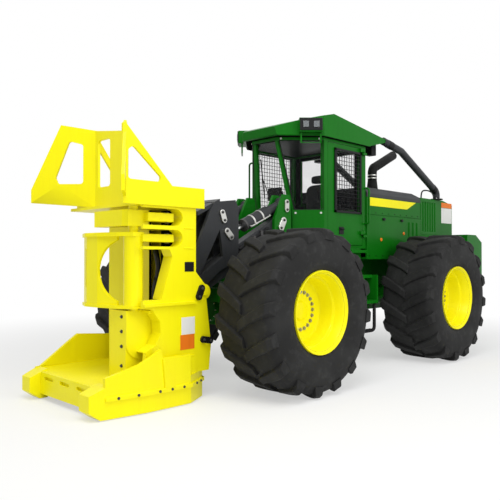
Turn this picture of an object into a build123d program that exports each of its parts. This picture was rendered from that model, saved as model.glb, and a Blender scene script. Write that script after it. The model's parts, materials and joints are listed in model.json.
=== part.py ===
from build123d import *
import math
import os

# Layout in millimetres: x forward from the frame hinge, y to the left, z up from the ground
WHEELBASE = 3115
TRACK = 2408
HEAD_FRONT = 3790
TAIL_REAR = -3245
ORIGIN_X = (HEAD_FRONT + TAIL_REAR) / 2
FIT = 0.3
HORN_FILLET = 35
GAP = 6

# Wheels
TYRE_R = 900
TYRE_W = 780
CROWN_R = 838
BEAD_R = 410
FLANGE_R = 446
FLANGE_OUT = 355
FLANGE_T = 20
RIM_T = 15
DISC_IN = 15
DISC_T = 30
HUB_R = 150
HUB_IN = -60
SPINDLE_R = 110
AXLE_R = 150
LUGS = 16
LUG_W = 100
LUG_SLANT = 210
LUG_TOP = math.sqrt(TYRE_R ** 2 - ((LUG_SLANT + LUG_W) / 2) ** 2)

# Frames and hinge
RAIL_IN = 270
RAIL_OUT = 330
HINGE_R = 60
LUG_R = 160
ARTIC_DEG = 45

# Hood
TYRE_CLEARANCE = 134
HOOD_Y = (TRACK - TYRE_W) / 2 - TYRE_CLEARANCE
HOOD_FRONT = -586
HOOD_MID = -2100
HOOD_REAR = -3180
HOOD_LOW = 1450
HOOD_HIGH = 2340
HOOD_TOP = 2480
SHEET = 30
SEAM_Z = 2080
RIB_X = (-1780, -1900, -2020)
REAR_TOP = 2430
TAIL_TOP = 1840
VENTS = 6
VENT_X = -2150
VENT_PITCH = 78
VENT_W = 42
VENT_DEPTH = 12
STACK_R = 70

# Cab
CAB_Y = HOOD_Y - 20
CAB_REAR = -580
CAB_POST = 370
PROW_LOW = (634, 340)
PROW_TOP = (820, 220)
FLOOR_Z = 1640
SILL_Z = 2100
HEADER_Z = 3050
WALL = 40
DOOR_REAR = -490
DOOR_FRONT = 290
GLASS_T = 8
HINGE_X = DOOR_REAR - 3
HINGE_Y = 686
HINGE_PIN_R = 9
HINGE_HEIGHTS = (1820, 2975)
DOOR_WINDOW = (-440, 140)
DOOR_WINDOW_TOP = 2920
LAMP_X = 565
LAMP_Y = 588
LAMP_Z = 3170

# Boom and tower pins, each as x and z
PIN_U = (830, 2174)
PIN_P = (904, 1928)
PIN_K = (1826, 1727)
PIN_T = (1920, 1980)
PIN_H = (2420, 1120)
PIN_D = (2380, 600)
PLATE_IN = (215, 255)
PLATE_OUT = (385, 425)
ARM_IN = 260
ARM_OUT = 380
KNEE_T = 40
LIFT_Y = 320
TILT_Y = 140
LIFT_BARREL_R = 56
LIFT_ROD_R = 36
TILT_BARREL_R = 62
TILT_ROD_R = 38
PIN_R = 40
EYE_R = 76
EYE_HALF = 48
LIFT_SLACK = 9
TILT_SLACK = 15

# Felling head
HEAD_Y = 660
HEAD_PLATE = 40
SAW_X = 2985
SAW_R = 600
SAW_Z = 120
SAW_T = 36
SHAFT_R = 60
SKID_Z = 10
DECK_LOW = 250
DECK_TOP = 290
TOWER_TOP = 1990
SHAFT_X = 3185
SHAFT_Y = 470
ARM_SHAFT_R = 48
TUBE_R = 95
COLUMN_Y = (200, 490)
COLUMN_TOP = 960
FAR_FRONT = 2760
SHELF_T = 28
SHELVES = ((COLUMN_TOP - 30, 3100), (1562, 2990), (1771, 2990))
HORN_T = 28


def block(x0, x1, y0, y1, z0, z1):
    return Pos((x0 + x1) / 2, (y0 + y1) / 2, (z0 + z1) / 2) * Box(x1 - x0, y1 - y0, z1 - z0)


def profile(points, y0, y1):
    """Solid between two y planes, from an outline in x and z."""
    face = make_face(Polyline(*[(x, y0, z) for x, z in points], close=True))
    return extrude(face, amount=y1 - y0, dir=(0, 1, 0))


def slab(points, z0, z1):
    """Solid between two heights, from an outline in x and y."""
    face = make_face(Polyline(*[(x, y, z0) for x, y in points], close=True))
    return extrude(face, amount=z1 - z0, dir=(0, 0, 1))


def bar(p, q, r):
    """Round bar between two points."""
    v = Vector(*q) - Vector(*p)
    return Part(Solid.make_cylinder(r, v.length, Plane(origin=p, z_dir=v)).wrapped)


def beam(p, q, w, d):
    """Square bar between two points."""
    v = Vector(*q) - Vector(*p)
    return extrude(Plane(origin=p, z_dir=v) * Rectangle(w, d), amount=v.length)


def pin(at, y0, y1, r):
    """Round bar across the machine at an x and z."""
    return bar((at[0], y0, at[1]), (at[0], y1, at[1]), r)


def post(x, y, z0, z1, r):
    """Upright round bar."""
    return bar((x, y, z0), (x, y, z1), r)


def both(shape):
    """The shape and its mirror image on the other side."""
    return shape + mirror(shape, about=Plane.XZ)


def mirrored_outline(half):
    """Closed plan outline from its left half, listed from front to rear."""
    return list(half) + [(x, -y) for x, y in reversed(half) if y > 0]


def sheet(low, high, z0, z1, t):
    """Pane between a line at one height and a line at another."""
    sections = []
    for (p, q), z in ((low, z0), (high, z1)):
        a = Vector(p[0], p[1], z)
        b = Vector(q[0], q[1], z)
        n = (b - a).cross(Vector(0, 0, 1)).normalized() * t
        sections.append(make_face(Polyline(a, b, b + n, a + n, close=True)))
    return loft(sections, ruled=True)


def upright(a, b, outline, t, holes=()):
    """Upright plate along the plan line from a to b, outlined by distance along it and height."""
    along = (Vector(*b, 0) - Vector(*a, 0)).normalized()
    plane = Plane(origin=(*a, 0), x_dir=along, z_dir=along.cross(Vector(0, 0, 1)))
    plate = extrude(plane * make_face(Polyline(*outline, close=True)), amount=t)
    for hole in holes:
        face = make_face(Polyline(*hole, close=True))
        cutter = fillet(face.vertices(), HORN_FILLET)
        plate -= extrude(plane * cutter, amount=t)
    return plate


def cross_bars(x0, x1, z0, z1, y, t, columns, rows):
    """Window guard: upright bars with level bars on their outer faces."""
    step_x = (x1 - x0 - t) / (columns - 1)
    step_z = (z1 - z0 - t) / (rows - 1)
    guard = None
    for i in range(columns):
        x = x0 + step_x * i
        piece = block(x, x + t, y, y + t, z0, z1)
        guard = piece if guard is None else guard + piece
    for i in range(rows):
        z = z0 + step_z * i
        guard += block(x0, x1, y + t, y + 2 * t, z, z + t)
    return guard


def save(name, shape):
    export_step(Pos(-ORIGIN_X, 0, 0) * shape, f"parts/{name}.step")


def tyre_ring(y, r):
    """Cross-section of the many-sided carcass at one distance from the wheel's middle."""
    plane = Plane(origin=(0, y, 0), x_dir=(1, 0, 0), z_dir=(0, 1, 0))
    return plane * RegularPolygon(r, 2 * LUGS)


def make_tyre():
    half = TYRE_W / 2
    bead = FLANGE_OUT - FLANGE_T
    rings = [(bead, FLANGE_R + 6), (half, 640), (half - 60, CROWN_R)]
    rings = [(-y, r) for y, r in rings] + [(y, r) for y, r in reversed(rings)]
    tyre = loft([tyre_ring(y, r) for y, r in rings], ruled=True)
    bore = BEAD_R / math.cos(math.pi / (2 * LUGS))
    tyre -= loft([tyre_ring(-bead, bore), tyre_ring(bead, bore)], ruled=True)
    lugs = []
    for i in range(LUGS):
        for side in (1, -1):
            points = [(-LUG_W / 2, -18), (LUG_W / 2, -18), (LUG_W / 2 + LUG_SLANT, half - 10),
                      (LUG_SLANT - LUG_W / 2 - 16, half - 10)]
            outline = [(LUG_SLANT / 2 - x, y * side) for x, y in points]
            lug = slab(outline, 740, LUG_TOP)
            turn = 360 / LUGS * (i + (0.5 if side < 0 else 0))
            lugs.append(Rot(0, turn, 0) * lug)
    return tyre.fuse(*lugs)


def make_rim():
    inner = BEAD_R - RIM_T
    disc = DISC_IN + DISC_T
    out = FLANGE_OUT
    lip = FLANGE_OUT - FLANGE_T
    bore = SPINDLE_R + FIT
    outline = [(0, 5), (0, disc + 22), (HUB_R - 20, disc + 22), (HUB_R, disc), (inner - 26, disc),
               (inner - 14, disc + 60), (inner, disc + 90), (inner, out),
               (FLANGE_R - 1, out), (FLANGE_R - 1, lip), (BEAD_R, lip), (BEAD_R, -lip),
               (FLANGE_R - 1, -lip), (FLANGE_R - 1, -out), (inner, -out), (inner, DISC_IN),
               (HUB_R, DISC_IN), (HUB_R, HUB_IN), (bore, HUB_IN), (bore, 5)]
    return revolve(make_face(Polyline(*outline, close=True)), Axis.Y)


def make_wheels():
    tyre = make_tyre()
    rim = make_rim()
    ends = (("front", WHEELBASE / 2), ("rear", -WHEELBASE / 2))
    for end, x in ends:
        for side, y in (("left", TRACK / 2), ("right", -TRACK / 2)):
            place = Pos(x, y, TYRE_R)
            save(f"tyre_{end}_{side}", place * (tyre if y > 0 else mirror(tyre, about=Plane.XZ)))
            save(f"rim_{end}_{side}", place * (rim if y > 0 else mirror(rim, about=Plane.XZ)))


def make_axle(x):
    hub_end = TRACK / 2 + HUB_IN - 14
    axle = pin((x, TYRE_R), -hub_end, hub_end, AXLE_R)
    axle += both(pin((x, TYRE_R), hub_end - 10, TRACK / 2, SPINDLE_R))
    axle += both(pin((x, TYRE_R), 560, 760, 230))
    axle += block(x - 210, x + 210, -200, 200, TYRE_R - 230, TYRE_R + 150)
    return axle


def make_rear_frame():
    axle_x = -WHEELBASE / 2
    axle = make_axle(axle_x)
    rails = both(profile([(-2640, 1000), (-2640, 1440), (-420, 1440), (-420, 760), (-1000, 760),
                          (-1200, 1000)], RAIL_IN, RAIL_OUT))
    chassis = rails + block(-480, -420, -RAIL_IN, RAIL_IN, 760, 1440)
    chassis += block(-2640, -2560, -RAIL_IN, RAIL_IN, 1000, 1440)
    chassis += block(-2560, -480, -RAIL_IN, RAIL_IN, 1390, 1440)
    for z in (690, 1290):
        ear = block(-480, 0, -LUG_R, LUG_R, z, z + 60) + post(0, 0, z, z + 60, LUG_R)
        chassis += ear - post(0, 0, z, z + 60, HINGE_R + FIT)
    chassis += block(-480, -420, -LUG_R, LUG_R, 690, 760)
    chassis += block(CAB_REAR, -200, -520, 520, 1440, 1600)
    chassis += block(axle_x - 180, axle_x + 180, -RAIL_OUT, RAIL_OUT, TYRE_R + 60, 1200)
    chassis -= pin((axle_x, TYRE_R), -1000, 1000, AXLE_R)
    chassis -= block(axle_x - 210, axle_x + 210, -200, 200, TYRE_R - 230, TYRE_R + 150)
    save("rear_chassis", chassis)
    save("rear_axle", axle)
    save("engine_block", block(-2050, -900, -325, 325, 1440, 2250))
    tail = profile([(-3235, 1080), (-3235, TAIL_TOP), (-2640, TAIL_TOP), (-2640, 1000), (-3150, 1000)],
                   -1200, 1200)
    tail -= both(profile([(-2960, TAIL_TOP), (-3240, 1690), (-3240, TAIL_TOP)], HOOD_Y + 20, 1200))
    for y in (1, -1):
        tail -= Pos(-3235, y * 1200, 1420) * Rot(0, 0, 45) * Box(80, 80, 900)
    tail -= block(-3240, -3160, -420, 420, 1040, 1320)
    tail -= block(-3240, -3195, -60, 60, 1320, TAIL_TOP)
    save("rear_bumper", tail)
    hitch = block(TAIL_REAR, -3160, -90, 90, 1100, 1150) + block(TAIL_REAR, -3160, -90, 90, 1210, 1260)
    save("tow_hitch", hitch - post(TAIL_REAR + 22, 0, 1090, 1270, 14))


def make_hood():
    side = block(HOOD_MID, HOOD_FRONT, HOOD_Y - SHEET, HOOD_Y, HOOD_LOW, HOOD_HIGH)
    side -= block(HOOD_MID, HOOD_FRONT, HOOD_Y - 8, HOOD_Y, SEAM_Z, SEAM_Z + 14)
    side -= block(HOOD_MID, HOOD_MID + 14, HOOD_Y - 8, HOOD_Y, SEAM_Z, HOOD_HIGH)
    for x in RIB_X:
        side += block(x, x + 50, HOOD_Y - SHEET, HOOD_Y + 14, HOOD_LOW + 40, SEAM_Z - 60)
    side += block(-2640, HOOD_MID, RAIL_OUT, HOOD_Y, HOOD_LOW, HOOD_LOW + SHEET)
    side += block(HOOD_MID, HOOD_FRONT, RAIL_OUT, HOOD_Y - SHEET, HOOD_LOW, HOOD_LOW + SHEET)
    side += block(-2640, HOOD_MID, HOOD_Y - SHEET, HOOD_Y, HOOD_LOW, TAIL_TOP)
    save("hood_sides", both(side))
    top = profile([(HOOD_FRONT, HOOD_HIGH), (HOOD_FRONT, HOOD_TOP), (-1900, HOOD_TOP), (HOOD_MID, REAR_TOP),
                   (HOOD_MID, HOOD_HIGH)], -HOOD_Y, HOOD_Y)
    for side_y in (1, -1):
        edge = [(HOOD_Y + 10, HOOD_HIGH + 30), (HOOD_Y - 50, HOOD_TOP + 10), (HOOD_Y + 10, HOOD_TOP + 10)]
        face = make_face(Polyline(*[(HOOD_MID, side_y * y, z) for y, z in edge], close=True))
        top -= extrude(face, amount=HOOD_FRONT - HOOD_MID, dir=(1, 0, 0))
    save("hood_top", top)
    rear = [(HOOD_MID, TAIL_TOP), (HOOD_MID, REAR_TOP), (HOOD_REAR + 330, REAR_TOP),
            (HOOD_REAR, REAR_TOP - 60), (HOOD_REAR, TAIL_TOP)]
    inside = [(HOOD_MID, TAIL_TOP), (HOOD_MID, REAR_TOP - SHEET), (HOOD_REAR + 330, REAR_TOP - SHEET),
              (HOOD_REAR + SHEET, REAR_TOP - 60 - SHEET), (HOOD_REAR + SHEET, TAIL_TOP)]
    shell = profile(rear, -HOOD_Y, HOOD_Y) - profile(inside, SHEET - HOOD_Y, HOOD_Y - SHEET)
    for i in range(VENTS):
        x = VENT_X - VENT_PITCH * i
        shell -= both(block(x - VENT_W, x, HOOD_Y - VENT_DEPTH, HOOD_Y, TAIL_TOP + 50, REAR_TOP - 60))
    for i in range(7):
        y = -510 + 170 * i
        shell -= block(HOOD_REAR - 10, HOOD_REAR + 60, y - 50, y + 50, TAIL_TOP + 80, REAR_TOP - 130)
    save("rear_hood", shell)
    save("cooler_block", block(-2960, -2200, -560, 560, TAIL_TOP, 2330))
    stack = Pos(-1300, 300, (HOOD_TOP + 2680) / 2) * Cone(STACK_R + 22, STACK_R, 2680 - HOOD_TOP)
    stack += post(-1300, 300, 2680, 2860, STACK_R) + bar((-1270, 300, 2835), (-1900, 300, 3125), STACK_R)
    save("intake_stack", stack)


def make_cab():
    outer = mirrored_outline([PROW_LOW, (CAB_POST, CAB_Y), (CAB_REAR, CAB_Y)])
    inner = mirrored_outline([(PROW_LOW[0] - WALL, PROW_LOW[1] - 18), (CAB_POST - 20, CAB_Y - WALL),
                              (CAB_REAR + WALL, CAB_Y - WALL)])
    shell = slab(outer, FLOOR_Z - WALL, SILL_Z) - slab(inner, FLOOR_Z, SILL_Z)
    door_hole = block(DOOR_REAR - GAP, DOOR_FRONT + GAP, CAB_Y - WALL - 20, CAB_Y + 20, FLOOR_Z, HEADER_Z)
    shell -= door_hole
    rear = block(CAB_REAR, CAB_REAR + WALL, -CAB_Y, CAB_Y, SILL_Z, HEADER_Z)
    rear -= block(CAB_REAR - 10, CAB_REAR + 60, -500, 500, SILL_Z + 60, HEADER_Z - 90)
    shell += rear
    top_ring = mirrored_outline([PROW_TOP, (CAB_POST, CAB_Y), (CAB_REAR, CAB_Y)])
    top_in = mirrored_outline([(PROW_TOP[0] - 90, PROW_TOP[1] - 30), (CAB_POST - 30, CAB_Y - 60),
                               (CAB_REAR + 60, CAB_Y - 60)])
    shell += slab(top_ring, HEADER_Z - 40, HEADER_Z) - slab(top_in, HEADER_Z - 40, HEADER_Z)
    shell += both(block(DOOR_FRONT + GAP, CAB_POST, CAB_Y - 60, CAB_Y, SILL_Z, HEADER_Z))
    shell += both(block(CAB_REAR, DOOR_REAR - GAP, CAB_Y - 60, CAB_Y, SILL_Z, HEADER_Z))
    shell += both(beam((PROW_LOW[0] - 40, PROW_LOW[1] - 30, SILL_Z - 30),
                       (PROW_TOP[0] - 46, PROW_TOP[1] - 24, HEADER_Z - 20), 50, 50))
    for z in HINGE_HEIGHTS:
        shell += block(HINGE_X - 60, HINGE_X - 10, CAB_Y, HINGE_Y + 16, z - 60, z - 24 - GAP)
        shell += block(HINGE_X - 60, HINGE_X + 16, HINGE_Y - 9, HINGE_Y + 16, z - 60, z - 24 - GAP)
        shell += post(HINGE_X, HINGE_Y, z - 60, z + 30, HINGE_PIN_R)
    save("cab_shell", shell)
    ridge = [(905, 3060), (930, 3165), (620, 3270), (220, 3370), (-1060, 3205), (-1060, 3165), (-640, 3060),
             (-640, HEADER_Z), (880, HEADER_Z)]
    roof_plan = mirrored_outline([(930, 290), (430, 715), (-1060, 705)])
    roof = profile(ridge, -800, 800) & slab(roof_plan, HEADER_Z, 3400)
    place = Pos(LAMP_X, LAMP_Y, LAMP_Z) * Rot(0, 0, 45)
    housing = place * Box(220, 300, 180)
    housing += place * Pos(60, 0, -150) * (Box(20, 270, 150) - Box(30, 230, 130))
    roof += both(housing)
    save("cab_roof", roof)
    lamps = place * Pos(115, 68, 5) * Box(14, 100, 110) + place * Pos(115, -68, 5) * Box(14, 100, 110)
    lamps += block(-1040, -920, 420, 540, 2990, 3165)
    save("roof_lamps", both(lamps) - roof)
    bars = cross_bars(DOOR_REAR - 24, DOOR_FRONT + 24, SILL_Z - 15, HEADER_Z - 25, CAB_Y, 10, 9, 11)
    save("window_guards", mirror(bars, about=Plane.XZ))
    grab = FilletPolyline((345, 655, 2860), (345, 745, 2860), (345, 745, 2300), (345, 655, 2300), radius=40)
    rails = mirror(sweep(Plane(origin=(345, 655, 2860), z_dir=(0, 1, 0)) * Circle(13), path=grab), about=Plane.XZ)
    hold = FilletPolyline((-555, 655, 2450), (-555, 735, 2450), (-555, 735, 1950), (-555, 655, 1950), radius=40)
    rails += sweep(Plane(origin=(-555, 655, 2450), z_dir=(0, 1, 0)) * Circle(13), path=hold)
    save("hand_rails", rails - shell)
    glass = sheet(((602, 300), (602, -300)), ((777, -180), (777, 180))[::-1], SILL_Z, HEADER_Z - 40, GLASS_T)
    corner = sheet(((356, 634), (594, 346)), ((356, 634), (776, 238)), SILL_Z, HEADER_Z - 40, GLASS_T)
    glass += both(corner)
    glass += block(DOOR_REAR - GAP, DOOR_FRONT + GAP, -CAB_Y + 26, -CAB_Y + 26 + GLASS_T, SILL_Z, HEADER_Z - 40)
    glass += block(CAB_REAR + 14, CAB_REAR + 22, -500, 500, SILL_Z + 60, HEADER_Z - 90)
    save("cab_glass", glass - shell)
    seat = block(-330, 150, -240, 240, 1980, 2090) + block(-420, -300, -230, 230, 1980, 2680)
    seat += block(-250, 80, -150, 150, FLOOR_Z, 1980)
    save("seat", seat)
    desk = both(block(-330, 120, 270, 390, FLOOR_Z, 2230))
    save("console", desk + block(330, 470, -200, 200, FLOOR_Z, 1960))
    run = FilletPolyline((-1030, 660, 3190), (-1540, 660, 3100), (-2660, 660, 2560), (-2660, 660, 2430), radius=90)
    start = Plane(origin=(-1030, 660, 3190), z_dir=(-510, 0, -90))
    save("limb_risers", both(sweep(start * Circle(56), path=run)) - roof)


def make_door():
    width = (DOOR_REAR, DOOR_FRONT)
    y0 = CAB_Y - WALL
    door = block(width[0], width[1], y0, CAB_Y, FLOOR_Z + GAP, HEADER_Z - 46)
    door -= block(*DOOR_WINDOW, y0 - 10, CAB_Y + 10, SILL_Z, DOOR_WINDOW_TOP)
    for z in HINGE_HEIGHTS:
        door += post(HINGE_X, HINGE_Y, z - 24, z + 24, 22)
        door += block(HINGE_X, HINGE_X + 70, CAB_Y, HINGE_Y + 8, z - 24, z + 24)
        door -= post(HINGE_X, HINGE_Y, z - 24, z + 24, HINGE_PIN_R + FIT)
    save("cab_door", door)
    door_y = y0 + 10
    save("door_glass", block(*DOOR_WINDOW, door_y, door_y + GLASS_T, SILL_Z, DOOR_WINDOW_TOP))
    bars = cross_bars(DOOR_WINDOW[0] - 15, DOOR_WINDOW[1] + 15, SILL_Z - 20, DOOR_WINDOW_TOP + 20,
                      CAB_Y, 10, 8, 11)
    save("door_guard", bars)


def make_steps():
    steps = block(-400, -50, CAB_Y, 700, 1180, 1600)
    for z, reach in ((1540, 800), (1200, 900), (860, 980)):
        steps += block(-400, -50, CAB_Y, reach, z, z + 40)
    steps += block(-400, -370, CAB_Y, 980, 860, 1240) + block(-80, -50, CAB_Y, 980, 860, 1240)
    steps += block(-400, -360, RAIL_OUT, CAB_Y, 1180, 1300)
    save("access_steps", steps)
    loop = block(-390, -345, 915, 960, 500, 860) + block(-105, -60, 915, 960, 500, 860)
    save("bottom_step", loop + block(-390, -60, 915, 960, 470, 520))


def make_front_frame():
    axle_x = WHEELBASE / 2
    chassis = both(profile([(420, 760), (420, 1300), (760, 1500), (1060, 1500), (1900, 1120), (1900, 960),
                            (1300, 760)], RAIL_IN, RAIL_OUT))
    chassis += block(420, 480, -RAIL_IN, RAIL_IN, 760, 1300)
    chassis += block(1840, 1900, -RAIL_IN, RAIL_IN, 960, 1120)
    chassis += block(480, 1300, -RAIL_IN, RAIL_IN, 760, 820)
    chassis += block(axle_x - 180, axle_x + 180, -RAIL_OUT, RAIL_OUT, TYRE_R + 60, 1180)
    for z in (756, 1224):
        ear = block(0, 420, -LUG_R, LUG_R, z, z + 60) + post(0, 0, z, z + 60, LUG_R)
        chassis += ear
    chassis += post(0, 0, 680, 1360, HINGE_R)
    tower = [(760, 1300), (760, 2230), (800, 2280), (900, 2280), (1070, 1960), (1070, 1700), (1000, 1500),
             (1060, 1300)]
    for y0, y1 in (PLATE_IN, PLATE_OUT):
        chassis += both(profile(tower, y0, y1))
    chassis += both(block(760, 1060, PLATE_IN[0], PLATE_OUT[1], 1300, 1500))
    for at in (PIN_U, PIN_P):
        chassis += both(pin(at, PLATE_IN[0], PLATE_OUT[1] + 18, PIN_R))
    chassis -= pin((axle_x, TYRE_R), -1000, 1000, AXLE_R)
    chassis -= block(axle_x - 210, axle_x + 210, -200, 200, TYRE_R - 230, TYRE_R + 150)
    save("front_chassis", chassis)
    save("front_axle", make_axle(axle_x))


def make_boom():
    outline = [(850, 1850), (824, 1950), (900, 2012), (960, 2000), (1650, 1640), (1900, 1500), (2330, 1200),
               (2310, 1080), (2230, 1060), (1700, 1340), (1500, 1430), (960, 1830)]
    arm = profile(outline, ARM_IN, ARM_OUT) - pin(PIN_P, ARM_IN, ARM_OUT, PIN_R + FIT)
    arms = both(arm) + block(1500, 1650, -ARM_IN, ARM_IN, 1440, 1560)
    save("boom_arms", arms)
    knee = [(1690, 2060), (1740, 2150), (2060, 2110), (2130, 2010), (2510, 1190), (2500, 1060), (2420, 1020),
            (2310, 1080), (1980, 1330), (1760, 1420), (1690, 1500)]
    window = [(1985, 1800), (2290, 1270), (1935, 1490)]
    knees = []
    for y0 in (ARM_IN - KNEE_T, ARM_OUT):
        plate = profile(knee, y0, y0 + KNEE_T) - profile(window, y0, y0 + KNEE_T)
        knees.append(plate - pin(PIN_H, y0, y0 + KNEE_T, PIN_R + FIT))
    knee_set = both(knees[0] + knees[1] + pin(PIN_K, ARM_IN - KNEE_T, ARM_OUT + KNEE_T + 18, PIN_R))
    knee_set += pin(PIN_T, -ARM_OUT - KNEE_T - 18, ARM_OUT + KNEE_T + 18, PIN_R)
    save("boom_knees", knee_set)
    tray = profile([(1966, 2122), (1966, 2150), (2300, 1990), (2300, 1940), (2100, 2040)], -400, 400)
    tray -= profile(knee, -430, -210) + profile(knee, 210, 430)
    save("hose_tray", tray)


def make_cylinder(at, to, y, barrel_r, rod_r, barrel_len, rod_len, slack):
    """Barrel and rod along a line in x and z, with an eye at each end."""
    v = Vector(to[0] - at[0], 0, to[1] - at[1])
    n = v.normalized()
    a = Vector(at[0], y, at[1])
    b = Vector(to[0], y, to[1])
    barrel = bar(tuple(a + n * 40), tuple(a + n * barrel_len), barrel_r)
    barrel += pin(at, y - EYE_HALF, y + EYE_HALF, EYE_R)
    barrel -= pin(at, y - EYE_HALF, y + EYE_HALF, PIN_R + FIT)
    barrel -= bar(tuple(a + n * 110), tuple(a + n * (barrel_len + 5)), rod_r + FIT)
    rod = bar(tuple(b - n * rod_len), tuple(b - n * 60), rod_r) + pin(to, y - EYE_HALF, y + EYE_HALF, EYE_R)
    rod -= pin(to, y - EYE_HALF, y + EYE_HALF, PIN_R + slack)
    return barrel, rod


def make_cylinders():
    barrel, rod = make_cylinder(PIN_U, PIN_K, LIFT_Y, LIFT_BARREL_R, LIFT_ROD_R, 760, 780, LIFT_SLACK)
    save("lift_barrels", both(barrel))
    save("lift_rods", both(rod))
    barrel, rod = make_cylinder(PIN_T, PIN_D, TILT_Y, TILT_BARREL_R, TILT_ROD_R, 960, 980, TILT_SLACK)
    save("tilt_barrels", both(barrel))
    save("tilt_rods", both(rod))


def make_head():
    y0 = HEAD_Y - HEAD_PLATE
    side = [(2360, DECK_TOP), (2330, 560), (2417, 1200), (2540, 1330), (2540, TOWER_TOP), (3200, TOWER_TOP),
            (3200, 985), (3090, 970), (3000, 850), (2990, 735), (3050, 620), (3170, 560), (3200, DECK_TOP)]
    plate = profile(side, y0, HEAD_Y)
    plate -= profile([(2980, 1065), (2845, 1490), (2880, 1562), (3300, 1562), (3300, 1065)], y0, HEAD_Y)
    for z in (1590, 1800):
        plate -= block(2800, 3300, y0 - 5, HEAD_Y + 5, z, z + 170)
        plate -= pin((2800, z + 85), y0 - 5, HEAD_Y + 5, 85)
    plate += block(2550, 3200, HEAD_Y, HEAD_Y + 30, 1000, 1028)
    plate += profile([(2560, DECK_TOP), (2560, 470), (2980, 470), (2870, DECK_TOP)], HEAD_Y, HEAD_Y + 26)
    far = side[:5] + [(FAR_FRONT, TOWER_TOP), (FAR_FRONT, DECK_TOP)]
    tower = plate + profile(far, -HEAD_Y, -y0) + pin(PIN_D, -HEAD_Y - 18, HEAD_Y + 18, PIN_R)
    tower += both(pin(PIN_H, ARM_IN - KNEE_T - 5, HEAD_Y + 18, PIN_R) + pin(PIN_H, y0, HEAD_Y, 2 * PIN_R))
    tower += block(2560, 2600, -y0, y0, DECK_TOP, TOWER_TOP)
    tower += block(FAR_FRONT - 30, FAR_FRONT, -y0, 135, DECK_TOP, TOWER_TOP)
    for z, reach in SHELVES:
        tower += block(2600, reach, 135, y0, z, z + SHELF_T)
    tower += block(2540, 3250, -HEAD_Y, HEAD_Y, TOWER_TOP, TOWER_TOP + 30)
    front = SHAFT_X + 100
    rear = SHAFT_X - 250
    column = profile([(front, DECK_TOP), (front, COLUMN_TOP), (front - 225, COLUMN_TOP), (rear, 770),
                      (rear, DECK_TOP)], *COLUMN_Y)
    column -= block(rear - 10, front - 40, COLUMN_Y[0] + 40, COLUMN_Y[1] - 40, DECK_TOP, COLUMN_TOP - 40)
    edge = Polyline((rear, COLUMN_Y[1], 640), (rear, COLUMN_Y[1], 770), (front - 225, COLUMN_Y[1], COLUMN_TOP),
                    (front, COLUMN_Y[1], COLUMN_TOP), (front, COLUMN_Y[1], 620))
    edge += ThreePointArc((front, COLUMN_Y[1], 620), (SHAFT_X - 60, COLUMN_Y[1], 480), (rear, COLUMN_Y[1], 640))
    column += extrude(make_face(edge), amount=14, dir=(0, 1, 0))
    column += post(SHAFT_X, SHAFT_Y, COLUMN_TOP - 10, TOWER_TOP, ARM_SHAFT_R)
    save("head_tower", tower + column)

    rim_line = [(3640, 705), (3200, 765), (2690, 765), (2400, 600), (2300, 320)]
    cave_line = [(3700, 632), (3640, 640), (3200, 700), (2710, 700), (2440, 550), (2350, 280)]
    base = slab(mirrored_outline(rim_line), SKID_Z, DECK_TOP)
    base -= slab(mirrored_outline(cave_line), SKID_Z, DECK_LOW)
    base -= post(SAW_X, 0, DECK_LOW, DECK_TOP, SHAFT_R + FIT)
    pod = slab([(HEAD_FRONT, 500), (HEAD_FRONT, 680), (3640, 705), (3590, 705), (3590, 500)], SKID_Z, 320)
    pod &= profile([(3590, SKID_Z), (3680, SKID_Z), (HEAD_FRONT, 90), (HEAD_FRONT, 240), (3640, 300), (3590, 310)],
                   400, 800)
    plan = [(3640, 665), (3640, 705), (3200, 765), (2690, 765), (2690, 725), (3200, 725)]
    near_top = [(3640, 385), (3310, 472), (3060, 593), (3030, 505), (2690, 500)]
    far_top = [(3640, 315), (3590, 315), (3122, 614), (2690, 575)]
    walls = []
    for top in (near_top, far_top):
        outline = [(3640, DECK_TOP - 20)] + top + [(2690, DECK_TOP - 20)]
        walls.append(slab(plan, DECK_TOP - 20, 640) & profile(outline, 400, 800))
    wall = walls[0] + mirror(walls[1], about=Plane.XZ)
    lip = [(3640, 700), (3640, 725), (3200, 787), (2684, 787), (2385, 617), (2285, 325), (2300, 320), (2400, 600),
           (2690, 765), (3200, 765)]
    lip_bar = slab(lip, 175, 215)
    save("head_base", base + wall + both(pod + lip_bar))
    guard = block(3640, 3670, -500, 500, 60, 290)
    for y in (-330, 0, 330):
        guard -= block(3635, 3675, y - 90, y + 90, 215, 250)
    save("throat_guard", guard)

    side = [(2447, 1992), (2447, 2200), (2868, 2197), (3425, 2760), (3445, 2740), (3445, 1992)]
    hole = [(3390, 2500), (3330, 2545), (2950, 2225), (3390, 2225)]
    gusset = mirror(upright((0, -HEAD_Y), (1000, -HEAD_Y), side, HORN_T, (hole,)), about=Plane.XZ)
    horns = gusset + block(2447, 3160, -HEAD_Y - HORN_T, -HEAD_Y, TOWER_TOP + 2, 2200)
    strut = [(3132, 2770), (3132, 2660), (2800, 2200), (2800, TOWER_TOP + 30), (2730, TOWER_TOP + 30),
             (2730, 2200)]
    horns += profile(strut, -302, HORN_T - 302)
    horns += block(3130, 3160, -HEAD_Y, HEAD_Y, TOWER_TOP + 30, 2200)
    panel = [(0, TOWER_TOP + 30), (604, TOWER_TOP + 30), (604, 2768), (0, 2853)]
    slot = [(64, 2232), (302, 2232), (302, 2735), (64, 2735)]
    horns += upright((3160, -302), (3160, 302), panel, -HORN_T, (slot,))
    for side_y, tops in ((-1, (2852, 2930)), (1, (2770, 2785))):
        wing_line = [(-20, TOWER_TOP + 30), (-20, tops[0]), (398, tops[1]), (748, 2224), (748, 2080)]
        window = [(140, 2280), (140, tops[0] - 145), (300, tops[1] - 180), (462, 2352), (430, 2284)]
        wing = upright((3160, -294), (3600, -900), wing_line, HORN_T, (window,))
        horns += wing if side_y < 0 else mirror(wing, about=Plane.XZ)
    save("head_horns", horns)

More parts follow.
